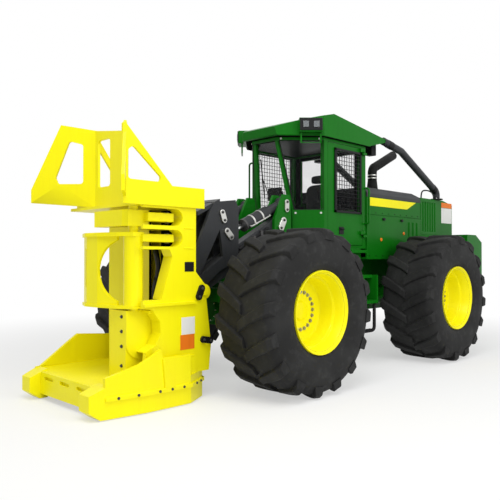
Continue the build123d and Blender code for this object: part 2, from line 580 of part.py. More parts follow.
    disc = post(SAW_X, 0, SAW_Z, SAW_Z + SAW_T, SAW_R) + post(SAW_X, 0, SAW_Z + SAW_T, 240, 110)
    disc += post(SAW_X, 0, 240, DECK_TOP - 4, SHAFT_R)
    for i in range(16):
        tooth = block(SAW_R - 20, SAW_R + 22, -18, 18, SAW_Z - 8, SAW_Z + SAW_T + 8)
        disc += Pos(SAW_X, 0, 0) * Rot(0, 0, 360 / 16 * i) * tooth
    save("saw_disc", disc)


def make_head_arms():
    hole = post(SHAFT_X, SHAFT_Y, 900, 2000, ARM_SHAFT_R + FIT)
    ring = [(SHAFT_X - 60, SHAFT_Y + 100), (SHAFT_X + 70, SHAFT_Y + 100), (SHAFT_X + 150, 400), (3400, 150),
            (3415, -60), (3330, -260), (3270, -240), (3315, -60), (3290, 130), (SHAFT_X - 70, 395)]
    arm = slab(ring, 980, 1010) + slab(ring, 1690, 1730)
    arm += post(SHAFT_X, SHAFT_Y, 1010, 1690, TUBE_R)
    web = slab([(3300, 360), (3385, 130), (3395, -60), (3315, -250), (3295, -245), (3370, -60), (3360, 130),
                (3270, 350)], 1010, 1690)
    web -= bar((3200, 460, 1350), (3500, 460, 1350), 320)
    web -= block(3300, 3450, -130, -70, 1170, 1570)
    save("accumulator_arm", arm + web - hole)
    clamp = slab([(3050, 530), (3285, 530), (3310, 460), (3330, -20), (3220, -20), (3060, 400)], 1790, 1950)
    clamp -= block(3325, 3400, 60, 420, 1840, 1900)
    save("clamp_arm", clamp - hole)


def main():
    os.makedirs("parts", exist_ok=True)
    make_wheels()
    make_rear_frame()
    make_hood()
    make_cab()
    make_door()
    make_steps()
    make_front_frame()
    make_boom()
    make_cylinders()
    make_head()
    make_head_arms()


if __name__ == "__main__":
    main()
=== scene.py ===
"""Dresses the wheel feller buncher: finishes, wheels, guards, fittings, studio and camera."""
import json
import logging
import math
from dataclasses import dataclass, field
from enum import Enum
from typing import Iterable, Sequence

import bmesh
import bpy
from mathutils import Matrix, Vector


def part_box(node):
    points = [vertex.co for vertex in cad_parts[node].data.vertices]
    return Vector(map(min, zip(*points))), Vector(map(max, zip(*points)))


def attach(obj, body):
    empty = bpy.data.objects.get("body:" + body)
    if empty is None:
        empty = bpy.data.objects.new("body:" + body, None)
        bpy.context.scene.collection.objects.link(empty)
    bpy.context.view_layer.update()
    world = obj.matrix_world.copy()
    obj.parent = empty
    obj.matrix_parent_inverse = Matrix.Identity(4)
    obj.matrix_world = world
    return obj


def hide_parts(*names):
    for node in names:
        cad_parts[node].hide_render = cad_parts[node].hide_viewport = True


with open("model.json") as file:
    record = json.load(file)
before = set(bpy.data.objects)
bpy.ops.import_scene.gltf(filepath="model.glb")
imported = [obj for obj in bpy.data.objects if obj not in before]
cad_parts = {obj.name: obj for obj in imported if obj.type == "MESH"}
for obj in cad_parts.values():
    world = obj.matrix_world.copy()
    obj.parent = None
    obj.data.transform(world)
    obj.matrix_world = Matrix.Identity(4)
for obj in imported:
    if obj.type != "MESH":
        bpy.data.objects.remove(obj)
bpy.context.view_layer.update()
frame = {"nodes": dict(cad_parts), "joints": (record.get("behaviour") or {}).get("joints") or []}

LOG = logging.getLogger("feller_buncher")
HINGE = Vector(next(joint["pos_m"] for joint in frame["joints"] if joint["name"] == "articulation"))
REAR, FRONT, BOOM, HEAD = "rear_frame", "front_frame", "boom", "head"
SIDES = (1, -1)
WHITE = (1.0, 1.0, 1.0)
Point = Sequence[float]
Colour = tuple[float, float, float]


def at(x: float, y: float, z: float) -> Vector:
    """Point in the shared frame, from metres forward of the frame hinge, to the left and up."""
    return Vector((HINGE.x + x, y, z))


def along(a: Point, b: Point, share: float) -> tuple[float, ...]:
    """Point that is a share of the way from one point to another."""
    return tuple(p + (q - p) * share for p, q in zip(a, b))


def mirrored(half: Sequence[Point], z: float) -> list[Vector]:
    """Level outline whose right half mirrors the left."""
    return [at(x, y, z) for x, y in half] + [at(x, -y, z) for x, y in reversed(half)]


class Value:
    """A socket whose arithmetic adds the nodes that work it out."""

    def __init__(self, shader: "Shader", socket: bpy.types.NodeSocket) -> None:
        """Keeps the socket and the shader that it belongs to."""
        self.shader = shader
        self.socket = socket

    def _math(self, operation: str, first: "Value | float", second: "Value | float") -> "Value":
        """Result of one Math node."""
        return self.shader.node("ShaderNodeMath", {"operation": operation}, {0: first, 1: second})

    def __add__(self, other: "Value | float") -> "Value":
        """Sum."""
        return self._math("ADD", self, other)

    def __sub__(self, other: "Value | float") -> "Value":
        """Difference."""
        return self._math("SUBTRACT", self, other)

    def __rsub__(self, other: "Value | float") -> "Value":
        """Difference with the value on the right."""
        return self._math("SUBTRACT", other, self)

    def __mul__(self, other: "Value | float") -> "Value":
        """Product."""
        return self._math("MULTIPLY", self, other)

    def __or__(self, other: "Value | float") -> "Value":
        """The larger of two values."""
        return self._math("MAXIMUM", self, other)

    def span(self, low: float, high: float, start: float = 0.0) -> "Value":
        """Smooth step up to one.

        Args:
            low: where the step starts.
            high: where it ends.
            start: the result up to low.

        Returns:
            The result, kept between start and one.
        """
        sockets = {"Value": self, "From Min": low, "From Max": high, "To Min": start}
        return self.shader.node("ShaderNodeMapRange", {"interpolation_type": "SMOOTHSTEP"}, sockets)


class Shader:
    """The node tree of a finish, of the floor or of the surroundings."""

    def __init__(self, owner: bpy.types.Material | bpy.types.World, surface: str = "Principled BSDF") -> None:
        """Turns nodes on.

        Args:
            owner: the material or world that has the tree.
            surface: the name of its first shader.
        """
        owner.use_nodes = True
        self.owner = owner
        self.tree = owner.node_tree
        self.surface = self.tree.nodes[surface]

    def node(self, kind: str, settings: dict | None = None, sockets: dict | None = None, out: int | str = 0) -> Value:
        """Adds any node.

        Args:
            kind: the node's type.
            settings: its own settings, which are set first.
            sockets: values or links for its inputs, by name or place.
            out: the output that is wanted.

        Returns:
            The wanted output.
        """
        made = self.tree.nodes.new(kind)
        for name, value in (settings or {}).items():
            setattr(made, name, value)
        for name, value in (sockets or {}).items():
            self.feed(made.inputs[name], value)
        return Value(self, made.outputs[out])

    def feed(self, target: bpy.types.NodeSocket, value: "Value | float | Point") -> None:
        """Links a result to a socket, or sets a constant there.

        Args:
            target: the socket.
            value: the result or constant.
        """
        if isinstance(value, Value):
            self.tree.links.new(value.socket, target)
        elif isinstance(target.default_value, (int, float)):
            target.default_value = value
        else:
            target.default_value = tuple(value) + (1.0,) * (len(target.default_value) - len(value))

    def place(self) -> Value:
        """Position on the piece, in metres."""
        return self.node("ShaderNodeTexCoord", out="Object")

    def cloud(self, scale: float, detail: float = 3.0, stretch: Point = (1, 1, 1)) -> Value:
        """Noise over the piece.

        Args:
            scale: patches per metre.
            detail: layers of finer noise.
            stretch: scale along each axis.

        Returns:
            Noise between zero and one.
        """
        spot = self.place()
        if tuple(stretch) != (1, 1, 1):
            spot = self.node("ShaderNodeVectorMath", {"operation": "MULTIPLY"}, {0: spot, 1: stretch})
        return self.node("ShaderNodeTexNoise", {}, {"Vector": spot, "Scale": scale, "Detail": detail}, out="Fac")

    def upward(self) -> Value:
        """How far the surface faces up."""
        normal = self.node("ShaderNodeNewGeometry", out="Normal")
        return self.node("ShaderNodeSeparateXYZ", {}, {"Vector": normal}, out="Z")

    def height(self) -> Value:
        """Height on the piece, in metres."""
        return self.node("ShaderNodeSeparateXYZ", {}, {"Vector": self.place()}, out="Z")

    def blend(self, factor: "Value | float", first: "Value | Point", second: "Value | Point") -> Value:
        """Mix of two colours, with the second one's share first."""
        return self.node("ShaderNodeMix", {"data_type": "RGBA"}, {0: factor, 6: first, 7: second}, out=2)

    def bump(self, height: Value, depth: float, strength: float) -> Value:
        """Normal of a relief, from its height, its depth in metres and the share of it that shows."""
        sockets = {"Height": height, "Distance": depth, "Strength": strength}
        return self.node("ShaderNodeBump", {}, sockets, out="Normal")

    def set(self, **sockets: "Value | float | Point") -> bpy.types.Material | bpy.types.World:
        """Feeds the first shader's sockets.

        Args:
            sockets: values by the socket's name, with underscores.

        Returns:
            The material or world.
        """
        for name, value in sockets.items():
            self.feed(self.surface.inputs[name.replace("_", " ")], value)
        return self.owner

    def show(self, shown: Value, output: str, share: "Value | float" = 1.0) -> None:
        """Shows another shader to the rays that see the backdrop.

        Args:
            shown: the other shader.
            output: the name of the tree's output node.
            share: how much of it they see.
        """
        camera, glossy, through = (self.node("ShaderNodeLightPath", out=f"Is {kind} Ray")
                                   for kind in ("Camera", "Glossy", "Transmission"))
        first = Value(self, self.surface.outputs[0])
        mix = self.node("ShaderNodeMixShader", {}, {0: (camera | glossy | through) * share, 1: first, 2: shown})
        self.feed(self.tree.nodes[output].inputs["Surface"], mix)


@dataclass(frozen=True)
class Paint:
    """Sprayed enamel with a slight orange peel, uneven tone and dust where it faces up."""

    name: str
    colour: Colour
    deep: Colour
    rough: float = 0.3
    coat: float = 0.35
    gloss: float = 0.3
    dust: float = 0.05
    dust_colour: Colour = (0.42, 0.40, 0.34)

    def material(self) -> bpy.types.Material:
        """Makes the finish.

        Returns:
            The new material.
        """
        shader = Shader(bpy.data.materials.new(self.name))
        patches = shader.cloud(2.2, 4.0)
        streaks = shader.cloud(9.0, 4.0, (3.0, 3.0, 0.25))
        specks = shader.cloud(60.0, 2.0).span(0.64, 0.72)
        peel = shader.cloud(260.0, 1.0)
        low = 1 - shader.height().span(0.2, 1.1)
        settled = (shader.upward().span(0.35, 1.0) * 0.6 + low * 0.4) * patches.span(0.35, 0.75)
        dusty = settled * self.dust + specks * self.dust * 0.35
        tone = shader.blend(patches.span(0.3, 0.75) * 0.4 + streaks.span(0.45, 0.8) * 0.3, self.colour, self.deep)
        return shader.set(
            Base_Color=shader.blend(dusty, tone, self.dust_colour),
            Roughness=patches * 0.16 + dusty * 0.5 + (self.rough - 0.06),
            Normal=shader.bump(peel * 0.7 + streaks * 0.3, 0.0006, 0.25),
            Specular_IOR_Level=self.gloss,
            Coat_Weight=self.coat,
            Coat_Roughness=0.08,
        )


@dataclass(frozen=True)
class Rubber:
    """Moulded rubber, matt, with fine grain and pale dust."""

    name: str
    colour: Colour
    dust_colour: Colour
    dust: float
    rough: float = 0.72
    gloss: float = 0.2

    def material(self) -> bpy.types.Material:
        """Makes the finish.

        Returns:
            The new material.
        """
        shader = Shader(bpy.data.materials.new(self.name))
        patches = shader.cloud(3.0, 5.0)
        grain = shader.cloud(180.0, 3.0)
        scuffs = shader.cloud(16.0, 4.0).span(0.5, 0.75)
        settled = patches.span(0.35, 0.8) * self.dust + scuffs * self.dust * 0.6
        return shader.set(
            Base_Color=shader.blend(settled, self.colour, self.dust_colour),
            Roughness=grain * 0.14 + (self.rough - 0.05) - scuffs * 0.08,
            Normal=shader.bump(grain * 0.6 + patches * 0.4, 0.0012, 0.45),
            Specular_IOR_Level=self.gloss,
        )


@dataclass(frozen=True)
class Metal:
    """Bare or plated metal with drawn streaks and tarnish."""

    name: str
    colour: Colour
    tarnish: Colour
    rough: float
    worn: float
    metallic: float = 1.0

    def material(self) -> bpy.types.Material:
        """Makes the finish.

        Returns:
            The new material.
        """
        shader = Shader(bpy.data.materials.new(self.name))
        streaks = shader.cloud(40.0, 3.0, (1.0, 6.0, 1.0))
        patches = shader.cloud(7.0, 5.0).span(0.42, 0.75)
        return shader.set(
            Base_Color=shader.blend(patches * self.worn + streaks * 0.12, self.colour, self.tarnish),
            Roughness=streaks * 0.12 + patches * 0.2 + (self.rough - 0.08),
            Metallic=self.metallic,
            Normal=shader.bump(streaks, 0.0004, 0.3),
        )


@dataclass(frozen=True)
class Clear:
    """Window or lamp glass with a faint film of dust."""

    name: str
    tint: Colour
    alpha: float
    film: float = 0.15
    rough: float = 0.05
    gloss: float = 0.5

    def material(self) -> bpy.types.Material:
        """Makes the finish.

        Returns:
            The new material.
        """
        shader = Shader(bpy.data.materials.new(self.name))
        film = shader.cloud(5.0, 4.0).span(0.35, 0.85)
        return shader.set(
            Base_Color=shader.blend(film * self.film, self.tint, (0.45, 0.46, 0.45)),
            Roughness=film * 0.1 + self.rough,
            Alpha=film * 0.03 + self.alpha,
            Specular_IOR_Level=self.gloss,
        )


@dataclass(frozen=True)
class Cloth:
    """Woven seat cloth."""

    name: str
    colour: Colour
    thread: Colour
    pitch: float = 240.0

    def material(self) -> bpy.types.Material:
        """Makes the finish.

        Returns:
            The new material.
        """
        shader = Shader(bpy.data.materials.new(self.name))
        sockets = {"Vector": shader.place(), "Scale": self.pitch}
        warp, weft = (shader.node("ShaderNodeTexWave", {"bands_direction": way}, sockets, "Fac") for way in "XZ")
        weave = warp * 0.5 + weft * 0.5
        return shader.set(
            Base_Color=shader.blend(weave, self.colour, self.thread),
            Roughness=weave * 0.1 + 0.8,
            Normal=shader.bump(weave, 0.0008, 0.6),
        )


class Finish(Enum):
    """The machine's finishes, each with the record's slot that it belongs to."""

    GREEN = (Paint("green_enamel", (0.004, 0.142, 0.005), (0.002, 0.106, 0.003), 0.32, 0.03, 0.1, 0.02), "green_paint")
    YELLOW = (Paint("yellow_enamel", (0.95, 0.87, 0.004), (0.90, 0.79, 0.003), 0.36, 0.05, 0.15, 0.03), "yellow_paint")
    ORANGE = (Paint("orange_enamel", (0.85, 0.20, 0.012), (0.72, 0.15, 0.008), 0.36, 0.05, 0.15), "yellow_paint")
    PALE = (Paint("pale_enamel", (0.80, 0.80, 0.77), (0.72, 0.72, 0.69), 0.36, 0.05, 0.15), "steel")
    GREY = (Paint("charcoal_enamel", (0.032, 0.034, 0.037), (0.021, 0.022, 0.024), 0.4, 0.06, 0.2, 0.06), "grey_paint")
    BLACK = (Paint("black_trim_paint", (0.009, 0.009, 0.010), (0.006, 0.006, 0.007), 0.45, 0.04, 0.15, 0.03),
             "black_trim")
    # Painted shade: flat black with no gloss, for sheets that stand where the inside of the cab, the roof's underside
    # and the tower's recess fall dark
    PAINTED_SHADE = (Paint("painted_shade_black", (0.009, 0.009, 0.009), (0.006, 0.006, 0.006), 0.8, 0.0, 0.0, 0.0), "black_trim")
    RUBBER = (Rubber("hose_rubber", (0.010, 0.010, 0.010), (0.06, 0.058, 0.053), 0.12), "rubber")
    TYRE = (Rubber("tyre_rubber", (0.013, 0.013, 0.013), (0.050, 0.051, 0.050), 0.32), "tyre")
    CHROME = (Metal("chrome_plate", (0.82, 0.83, 0.84), (0.55, 0.54, 0.52), 0.14, 0.15), "chrome_rod")
    STEEL = (Metal("worn_steel", (0.46, 0.45, 0.44), (0.22, 0.17, 0.13), 0.36, 0.5), "steel")
    CAST = (Metal("dark_casting", (0.060, 0.060, 0.062), (0.09, 0.075, 0.06), 0.55, 0.4, 0.35), "cast")
    ZINC = (Metal("zinc_plate", (0.66, 0.66, 0.63), (0.42, 0.40, 0.36), 0.32, 0.3), "steel")
    GLASS = (Clear("window_glass", (0.02, 0.025, 0.025), 0.07, 0.06, 0.04, 0.3), "glass")
    LENS = (Clear("lamp_lens", (0.30, 0.32, 0.34), 0.5, 0.3, 0.1), "glass")
    RED = (Clear("red_lens", (0.50, 0.012, 0.010), 0.88, 0.1, 0.12), "glass")
    SEAT = (Cloth("seat_weave", (0.008, 0.008, 0.009), (0.022, 0.023, 0.025)), "seat_trim")

    @property
    def slot(self) -> str:
        """The record's material slot."""
        return self.value[1]

    @property
    def material(self) -> bpy.types.Material:
        """The finish's material, made once."""
        return bpy.data.materials.get(self.value[0].name) or self.value[0].material()


class Form:
    """A mesh in the making, in the shared frame."""

    def __init__(self) -> None:
        """Starts with no faces."""
        self.mesh = bmesh.new()

    def skin(self, loops: Sequence[Sequence[Point]], caps: bool = True) -> None:
        """Joins closed loops of points with quads.

        Args:
            loops: loops with the same number of points.
            caps: whether the first and last loops are filled.
        """
        rows = [[self.mesh.verts.new(p) for p in loop] for loop in loops]
        for a, b in zip(rows, rows[1:]):
            for i in range(len(a)):
                self.mesh.faces.new((a[i - 1], a[i], b[i], b[i - 1]))
        if caps:
            self.mesh.faces.new(rows[0][::-1])
            self.mesh.faces.new(rows[-1])

    def box(self, low: Point, high: Point) -> None:
        """Block between two corners."""
        (x0, y0, z0), (x1, y1, z1) = low, high
        self.skin([[(x0, y0, z), (x1, y0, z), (x1, y1, z), (x0, y1, z)] for z in (z0, z1)])

    def prism(self, outline: Sequence[Point], move: Point) -> None:
        """Flat outline drawn out along a vector."""
        self.skin([list(outline), [Vector(p) + Vector(move) for p in outline]])

    def panel(self, centre: Vector, across: Vector, half: Point, move: Vector) -> None:
        """Upright block that stands on a face.

        Args:
            centre: middle of its back.
            across: the way along its width.
            half: half its width and half its height.
            move: the way out of the face, as long as the block is thick.
        """
        wide, high = across * half[0], Vector((0, 0, half[1]))
        self.prism([centre + wide * a + high * b for a, b in ((-1, -1), (1, -1), (1, 1), (-1, 1))], move)

    def rod(self, a: Point, b: Point, radius: float, sides: int = 12, end_radius: float | None = None,
            bore: float = 0.0) -> None:
        """Round bar between two points.

        Args:
            a: one end.
            b: the other end.
            radius: radius at the first end.
            sides: number of flats round it.
            end_radius: radius at the other end, where it tapers.
            bore: radius of the bore through it, where it has one.
        """
        turn = (Vector(b) - Vector(a)).to_track_quat("Z", "Y")
        stops = [(a, radius), (b, end_radius or radius)]
        if bore:
            stops = [(a, bore), *stops, (b, bore), (a, bore)]
        angles = [math.tau * i / sides for i in range(sides)]
        spokes = [turn @ Vector((math.cos(t), math.sin(t), 0)) for t in angles]
        self.skin([[Vector(end) + spoke * r for spoke in spokes] for end, r in stops], caps=not bore)

    def pillow(self, low: Point, high: Point, rings: int = 12, sides: int = 32) -> None:
        """Crowned cushion between two corners, whose sides pull in between its corners.

        Args:
            low: lowest corner.
            high: highest corner.
            rings: number of rings across it.
            sides: number of points round each ring.
        """
        middle = (Vector(low) + Vector(high)) / 2
        half = (Vector(high) - Vector(low)) / 2
        loops = []
        for i in range(rings + 1):
            turn = math.pi * (i + 0.15) / (rings + 0.3)
            reach = math.sin(turn) ** 0.35
            y = -math.copysign(abs(math.cos(turn)) ** 0.6, math.cos(turn))
            loop = []
            for k in range(sides):
                c, s = math.cos(math.tau * k / sides), math.sin(math.tau * k / sides)
                x, z = (math.copysign(abs(v) ** 0.45, v) * reach for v in (c, s))
                pull = 1 - 0.05 * (1 - abs(x * z))
                crown = 1 - 0.03 * (1 - abs(x))
                loop.append(middle + Vector((x * half.x * pull, y * half.y * crown, z * half.z * pull)))
            loops.append(loop)
        self.skin(loops)

    def bolt(self, spot: Point, axis: Point, radius: float) -> None:
        """Hexagon head on a washer, standing on a face.

        Args:
            spot: place on the face.
            axis: the way out of the face.
            radius: radius of the washer.
        """
        out = Vector(axis).normalized()
        start = Vector(spot)
        self.rod(start - out * radius * 0.2, start + out * radius * 0.22, radius, 14)
        self.rod(start + out * radius * 0.2, start + out * radius * 0.85, radius * 0.72, 6)

    def bolt_ring(self, centre: Point, axis: Point, reach: float, count: int, radius: float,
                  start: float = 0.0) -> None:
        """Ring of bolts on a face that is square to one of the frame's axes.

        Args:
            centre: middle of the ring.
            axis: the way out of the face.
            reach: radius of the ring.
            count: number of bolts.
            radius: radius of each washer.
            start: the first bolt's place, in steps.
        """
        u, v = (Vector(way) for way in ((1, 0, 0), (0, 1, 0), (0, 0, 1)) if not Vector(way).dot(Vector(axis)))
        for i in range(count):
            turn = math.tau * (i + start) / count
            self.bolt(Vector(centre) + (u * math.cos(turn) + v * math.sin(turn)) * reach, axis, radius)

    def lathe(self, outline: Sequence[tuple[float, float]], centre: Point, side: float, steps: int = 96) -> None:
        """Closed outline of width and radius turned about a line across the machine.

        Args:
            outline: pairs of distance out from the centre and radius.
            centre: the wheel's centre.
            side: 1 for the left side, -1 for the right.
            steps: number of flats round it.
        """
        loops = []
        for i in range(steps + 1):
            t = math.tau * i / steps
            loops.append([Vector(centre) + Vector((r * math.sin(t), y * side, r * math.cos(t))) for y, r in outline])
        self.skin(loops, caps=False)

    def pipe(self, points: Sequence[Point], radius: float, sides: int = 14, steps: int = 8) -> None:
        """Bent tube that follows a smooth line drawn inside its corner points.

        Args:
            points: corner points, with the ends.
            radius: tube radius.
            sides: number of flats round it.
            steps: number of rings at each bend.
        """
        corners = [Vector(p) for p in points]
        line = [corners[0]]
        for before, corner, after in zip(corners, corners[1:], corners[2:]):
            a = (before + corner) / 2
            b = (corner + after) / 2
            for i in range(steps + 1):
                t = i / steps
                line.append(a * (1 - t) ** 2 + corner * 2 * t * (1 - t) + b * t * t)
        line.append(corners[-1])
        loops = []
        side = (corners[1] - corners[0]).orthogonal().normalized()
        for i, p in enumerate(line):
            way = (line[min(i + 1, len(line) - 1)] - line[max(i - 1, 0)]).normalized()
            side = (side - way * side.dot(way)).normalized()
            across = way.cross(side)
            angles = [math.tau * k / sides for k in range(sides)]
            loops.append([p + (side * math.cos(t) + across * math.sin(t)) * radius for t in angles])
        self.skin(loops)

    def oval(self, centre: Point, length: float, width: float, lean: float, depth: float) -> None:
        """Plate with round ends that stands on a side face.

        Args:
            centre: middle of the plate on the face.
            length: length over the round ends.
            width: width.
            lean: turn of its length from upright, towards the front, in degrees.
            depth: thickness, out to the left where it is above zero.
        """
        outline = []
        reach = (length - width) / 2
        turn = math.radians(lean)
        for i in range(24):
            t = math.tau * (i + 0.5) / 24
            u = math.cos(t) * width / 2
            v = math.sin(t) * width / 2 + math.copysign(reach, math.sin(t))
            spread = Vector((u * math.cos(turn) + v * math.sin(turn), 0, v * math.cos(turn) - u * math.sin(turn)))
            outline.append(Vector(centre) + spread)
        self.prism(outline, (0, depth, 0))

    def keeper(self, bolts: "Form", centre: Point, size: Point, lean: float, depth: float, bolt: Point) -> None:
        """Pin keeper: an oval plate on a side face, with two bolts.

        Args:
            bolts: the form that the bolts go to.
            centre: middle of the plate on the face.
            size: length and width of the plate.
            lean: turn of its length from upright, towards the front, in degrees.
            depth: thickness, out to the left where it is above zero.
            bolt: each bolt's distance from the middle, as a share of the length, and its radius.
        """
        self.oval(centre, *size, lean, depth)
        turn, reach = math.radians(lean), size[0] * bolt[0]
        for end in SIDES:
            away = Vector((math.sin(turn) * reach * end, depth, math.cos(turn) * reach * end))
            bolts.bolt(Vector(centre) + away, (0, depth, 0), bolt[1])

    def ribbon(self, line: Sequence[tuple[float, float]], low: float, high: float, thick: float) -> None:
        """Strip along a line on a side face, thick to the left of the line's way.

        Args:
            line: points forward of the frame hinge and up.
            low: distance across of its inner edge.
            high: distance across of its outer edge.
            thick: thickness.
        """
        loops = []
        for i, (x, z) in enumerate(line):
            (xa, za), (xb, zb) = line[max(i - 1, 0)], line[min(i + 1, len(line) - 1)]
            out = Vector((za - zb, 0, xb - xa)).normalized() * thick
            loops.append([at(x, low, z), at(x, high, z), at(x, high, z) + out, at(x, low, z) + out])
        self.skin(loops)

    def piece(self, name: str, body: str, finish: Finish, bevel: float = 0.0, smooth: bool = False,
              replaces: Iterable[str] = ()) -> bpy.types.Object:
        """Makes the object and sets it on its body.

        Args:
            name: the piece's name.
            body: the body that carries it.
            finish: its finish.
            bevel: width of its rounded edges, in metres.
            smooth: whether its faces shade as a curve.
            replaces: nodes that it stands for.

        Returns:
            The new object.
        """
        bmesh.ops.remove_doubles(self.mesh, verts=self.mesh.verts, dist=1e-6)
        bmesh.ops.recalc_face_normals(self.mesh, faces=self.mesh.faces)
        data = bpy.data.meshes.new(name)
        self.mesh.to_mesh(data)
        self.mesh.free()
        made = bpy.data.objects.new(name, data)
        bpy.context.scene.collection.objects.link(made)
        data.materials.append(finish.material)
        if smooth:
            data.shade_smooth()
        if bevel:
            round_edges(made, bevel)
        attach(made, body)
        if replaces:
            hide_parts(*replaces)
        LOG.info("piece %s on %s in %s", name, body, finish.name)
        return made


def blocks(name: str, body: str, finish: Finish, bevel: float, *rows: Point) -> None:
    """Makes a piece of plain blocks.

    Args:
        name: the piece's name.
        body: the body that carries it.
        finish: its finish.
        bevel: width of its rounded edges, in metres.
        rows: each block's low and high corner, from the frame hinge.
    """
    form = Form()
    for row in rows:
        form.box(at(*row[:3]), at(*row[3:]))
    form.piece(name, body, finish, bevel=bevel)


def round_edges(target: bpy.types.Object, width: float) -> None:
    """Rounds an object's sharp edges.

    Args:
        target: the object.
        width: width of the rounding, in metres.
    """
    bevel = target.modifiers.new("edges", "BEVEL")
    bevel.width = width
    bevel.segments = 2
    bevel.limit_method = "ANGLE"
    bevel.angle_limit = math.radians(38)
    bevel.use_clamp_overlap = True
    bevel.harden_normals = True


def dress(node: str, finish: Finish, bevel: float = 0.0) -> None:
    """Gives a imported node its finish.

    Args:
        node: the node's name.
        finish: its finish.
        bevel: width of its rounded edges, in metres.
    """
    target = frame["nodes"][node]
    for slot in target.material_slots:
        slot.material = finish.material
    if not target.material_slots:
        target.data.materials.append(finish.material)
    if bevel:
        weld = target.modifiers.new("joined", "WELD")
        weld.merge_threshold = 0.00005
        round_edges(target, bevel)
    LOG.info("node %s in %s", node, finish.name)


@dataclass
class Wheel:
    """One wheel: lugged tyre and dished rim with its studs."""

    end: str
    side_name: str
    lugs: int = 16
    lug_width: float = 0.108
    lug_lean: float = 0.21
    lug_steps: int = 9
    lug_overlap: float = 0.018
    lug_root: float = 0.81
    lug_chamfer: float = 0.008
    studs: int = 20
    stud_circle: float = 0.205
    valve_turn: float = 0.6
    tyre_outline: tuple = ((0.335, 0.412), (0.337, 0.452), (0.353, 0.468), (0.366, 0.50), (0.3695, 0.505),
                           (0.372, 0.512), (0.385, 0.57), (0.390, 0.64), (0.387, 0.71), (0.376, 0.78),
                           (0.350, 0.832), (0.305, 0.856), (0.18, 0.862), (0.0, 0.864))
    rim_outline: tuple = ((0.067, 0.0), (0.067, 0.085), (0.060, 0.10), (0.047, 0.112), (0.045, 0.30), (0.052, 0.328),
                          (0.080, 0.346), (0.198, 0.356), (0.212, 0.364), (0.216, 0.386), (0.228, 0.392),
                          (0.322, 0.402), (0.334, 0.412), (0.348, 0.430), (0.362, 0.435), (0.362, 0.4445),
                          (0.350, 0.4465), (0.334, 0.4465), (0.333, 0.408), (0.10, 0.401), (-0.333, 0.401),
                          (-0.334, 0.4465), (-0.355, 0.4465), (-0.355, 0.412), (-0.30, 0.385), (0.0, 0.37),
                          (0.018, 0.33), (0.018, 0.112), (0.018, 0.0))
    valve: tuple = ((0.06, 0.355), (0.125, 0.345), (0.12, 0.346), (0.15, 0.341))

    def __post_init__(self) -> None:
        """Finds the wheel's place from its tyre."""
        self.tyre_node = f"tyre_{self.end}_{self.side_name}"
        self.rim_node = f"rim_{self.end}_{self.side_name}"
        self.body = f"wheel_{self.end}_{self.side_name}"
        low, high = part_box(self.tyre_node)
        self.side = 1 if self.side_name == "left" else -1
        self.centre = (low + high) / 2
        self.radius = (high.z - low.z) / 2
        self.half = (high.y - low.y) / 2

    def spot(self, y: float, r: float, turn: float) -> Vector:
        """Point at a distance out, a radius and a turn from the top."""
        return self.centre + Vector((r * math.sin(turn), y * self.side, r * math.cos(turn)))

    def lug(self, form: Form, turn: float, half: int) -> None:
        """Adds one lug, from past the middle of the tread to the shoulder.

        Args:
            form: the tyre in the making.
            turn: the lug's place round the tyre.
            half: 1 for the outer half of the tread, -1 for the inner.
        """
        loops = []
        for i in range(self.lug_steps + 1):
            t = i / self.lug_steps
            past = max(0.0, t - 0.8) * 5
            edge = max(0.0, t - 0.88) / 0.12
            y = (-self.lug_overlap + (self.half + self.lug_overlap - 0.002) * t) * half
            lean = turn + self.lug_lean * (0.5 - t ** 0.85) / 0.87
            top = self.radius - 0.008 * t ** 3 - 0.034 * edge
            wide = self.lug_width * (0.92 + 0.30 * t - 0.18 * past) / 2
            rows = [(r, share * wide / r) for r, share in ((self.lug_root - 0.04 * past, 1.35),
                                                           (top - self.lug_chamfer, 1.0), (top, 0.84))]
            edges = [(r, lean - w) for r, w in rows] + [(r, lean + w) for r, w in rows[::-1]]
            loops.append([self.spot(y, r, place) for r, place in edges])
        form.skin(loops)

    def tyre(self) -> None:
        """Builds the tyre."""
        form, lugs = Form(), Form()
        form.lathe(self.tyre_outline + tuple((-y, r) for y, r in self.tyre_outline[-2::-1]), self.centre, 1)
        form.piece(f"{self.tyre_node}_carcass", self.body, Finish.TYRE, smooth=True, replaces=[self.tyre_node])
        for i in range(self.lugs):
            pitch = math.tau / self.lugs
            self.lug(lugs, pitch * i, 1)
            self.lug(lugs, pitch * (i + 0.5), -1)
        lugs.piece(f"{self.tyre_node}_lugs", self.body, Finish.TYRE, bevel=0.007)

    def rim(self) -> None:
        """Builds the rim, its studs and its valve."""
        form, studs, valve = Form(), Form(), Form()
        form.lathe(self.rim_outline, self.centre, self.side)
        form.piece(f"{self.rim_node}_dish", self.body, Finish.YELLOW, bevel=0.0015, smooth=True,
                   replaces=[self.rim_node])
        studs.bolt_ring(self.spot(0.045, 0.0, 0.0), (0, self.side, 0), self.stud_circle, self.studs, 0.022)
        studs.piece(f"{self.rim_node}_studs", self.body, Finish.STEEL)
        stem = [self.spot(y, r, self.valve_turn) for y, r in self.valve]
        valve.rod(stem[0], stem[1], 0.009)
        valve.rod(stem[2], stem[3], 0.012, 10)
        valve.piece(f"{self.rim_node}_valve", self.body, Finish.RUBBER)

    def build(self) -> None:
        """Builds the whole wheel."""
        self.tyre()
        self.rim()


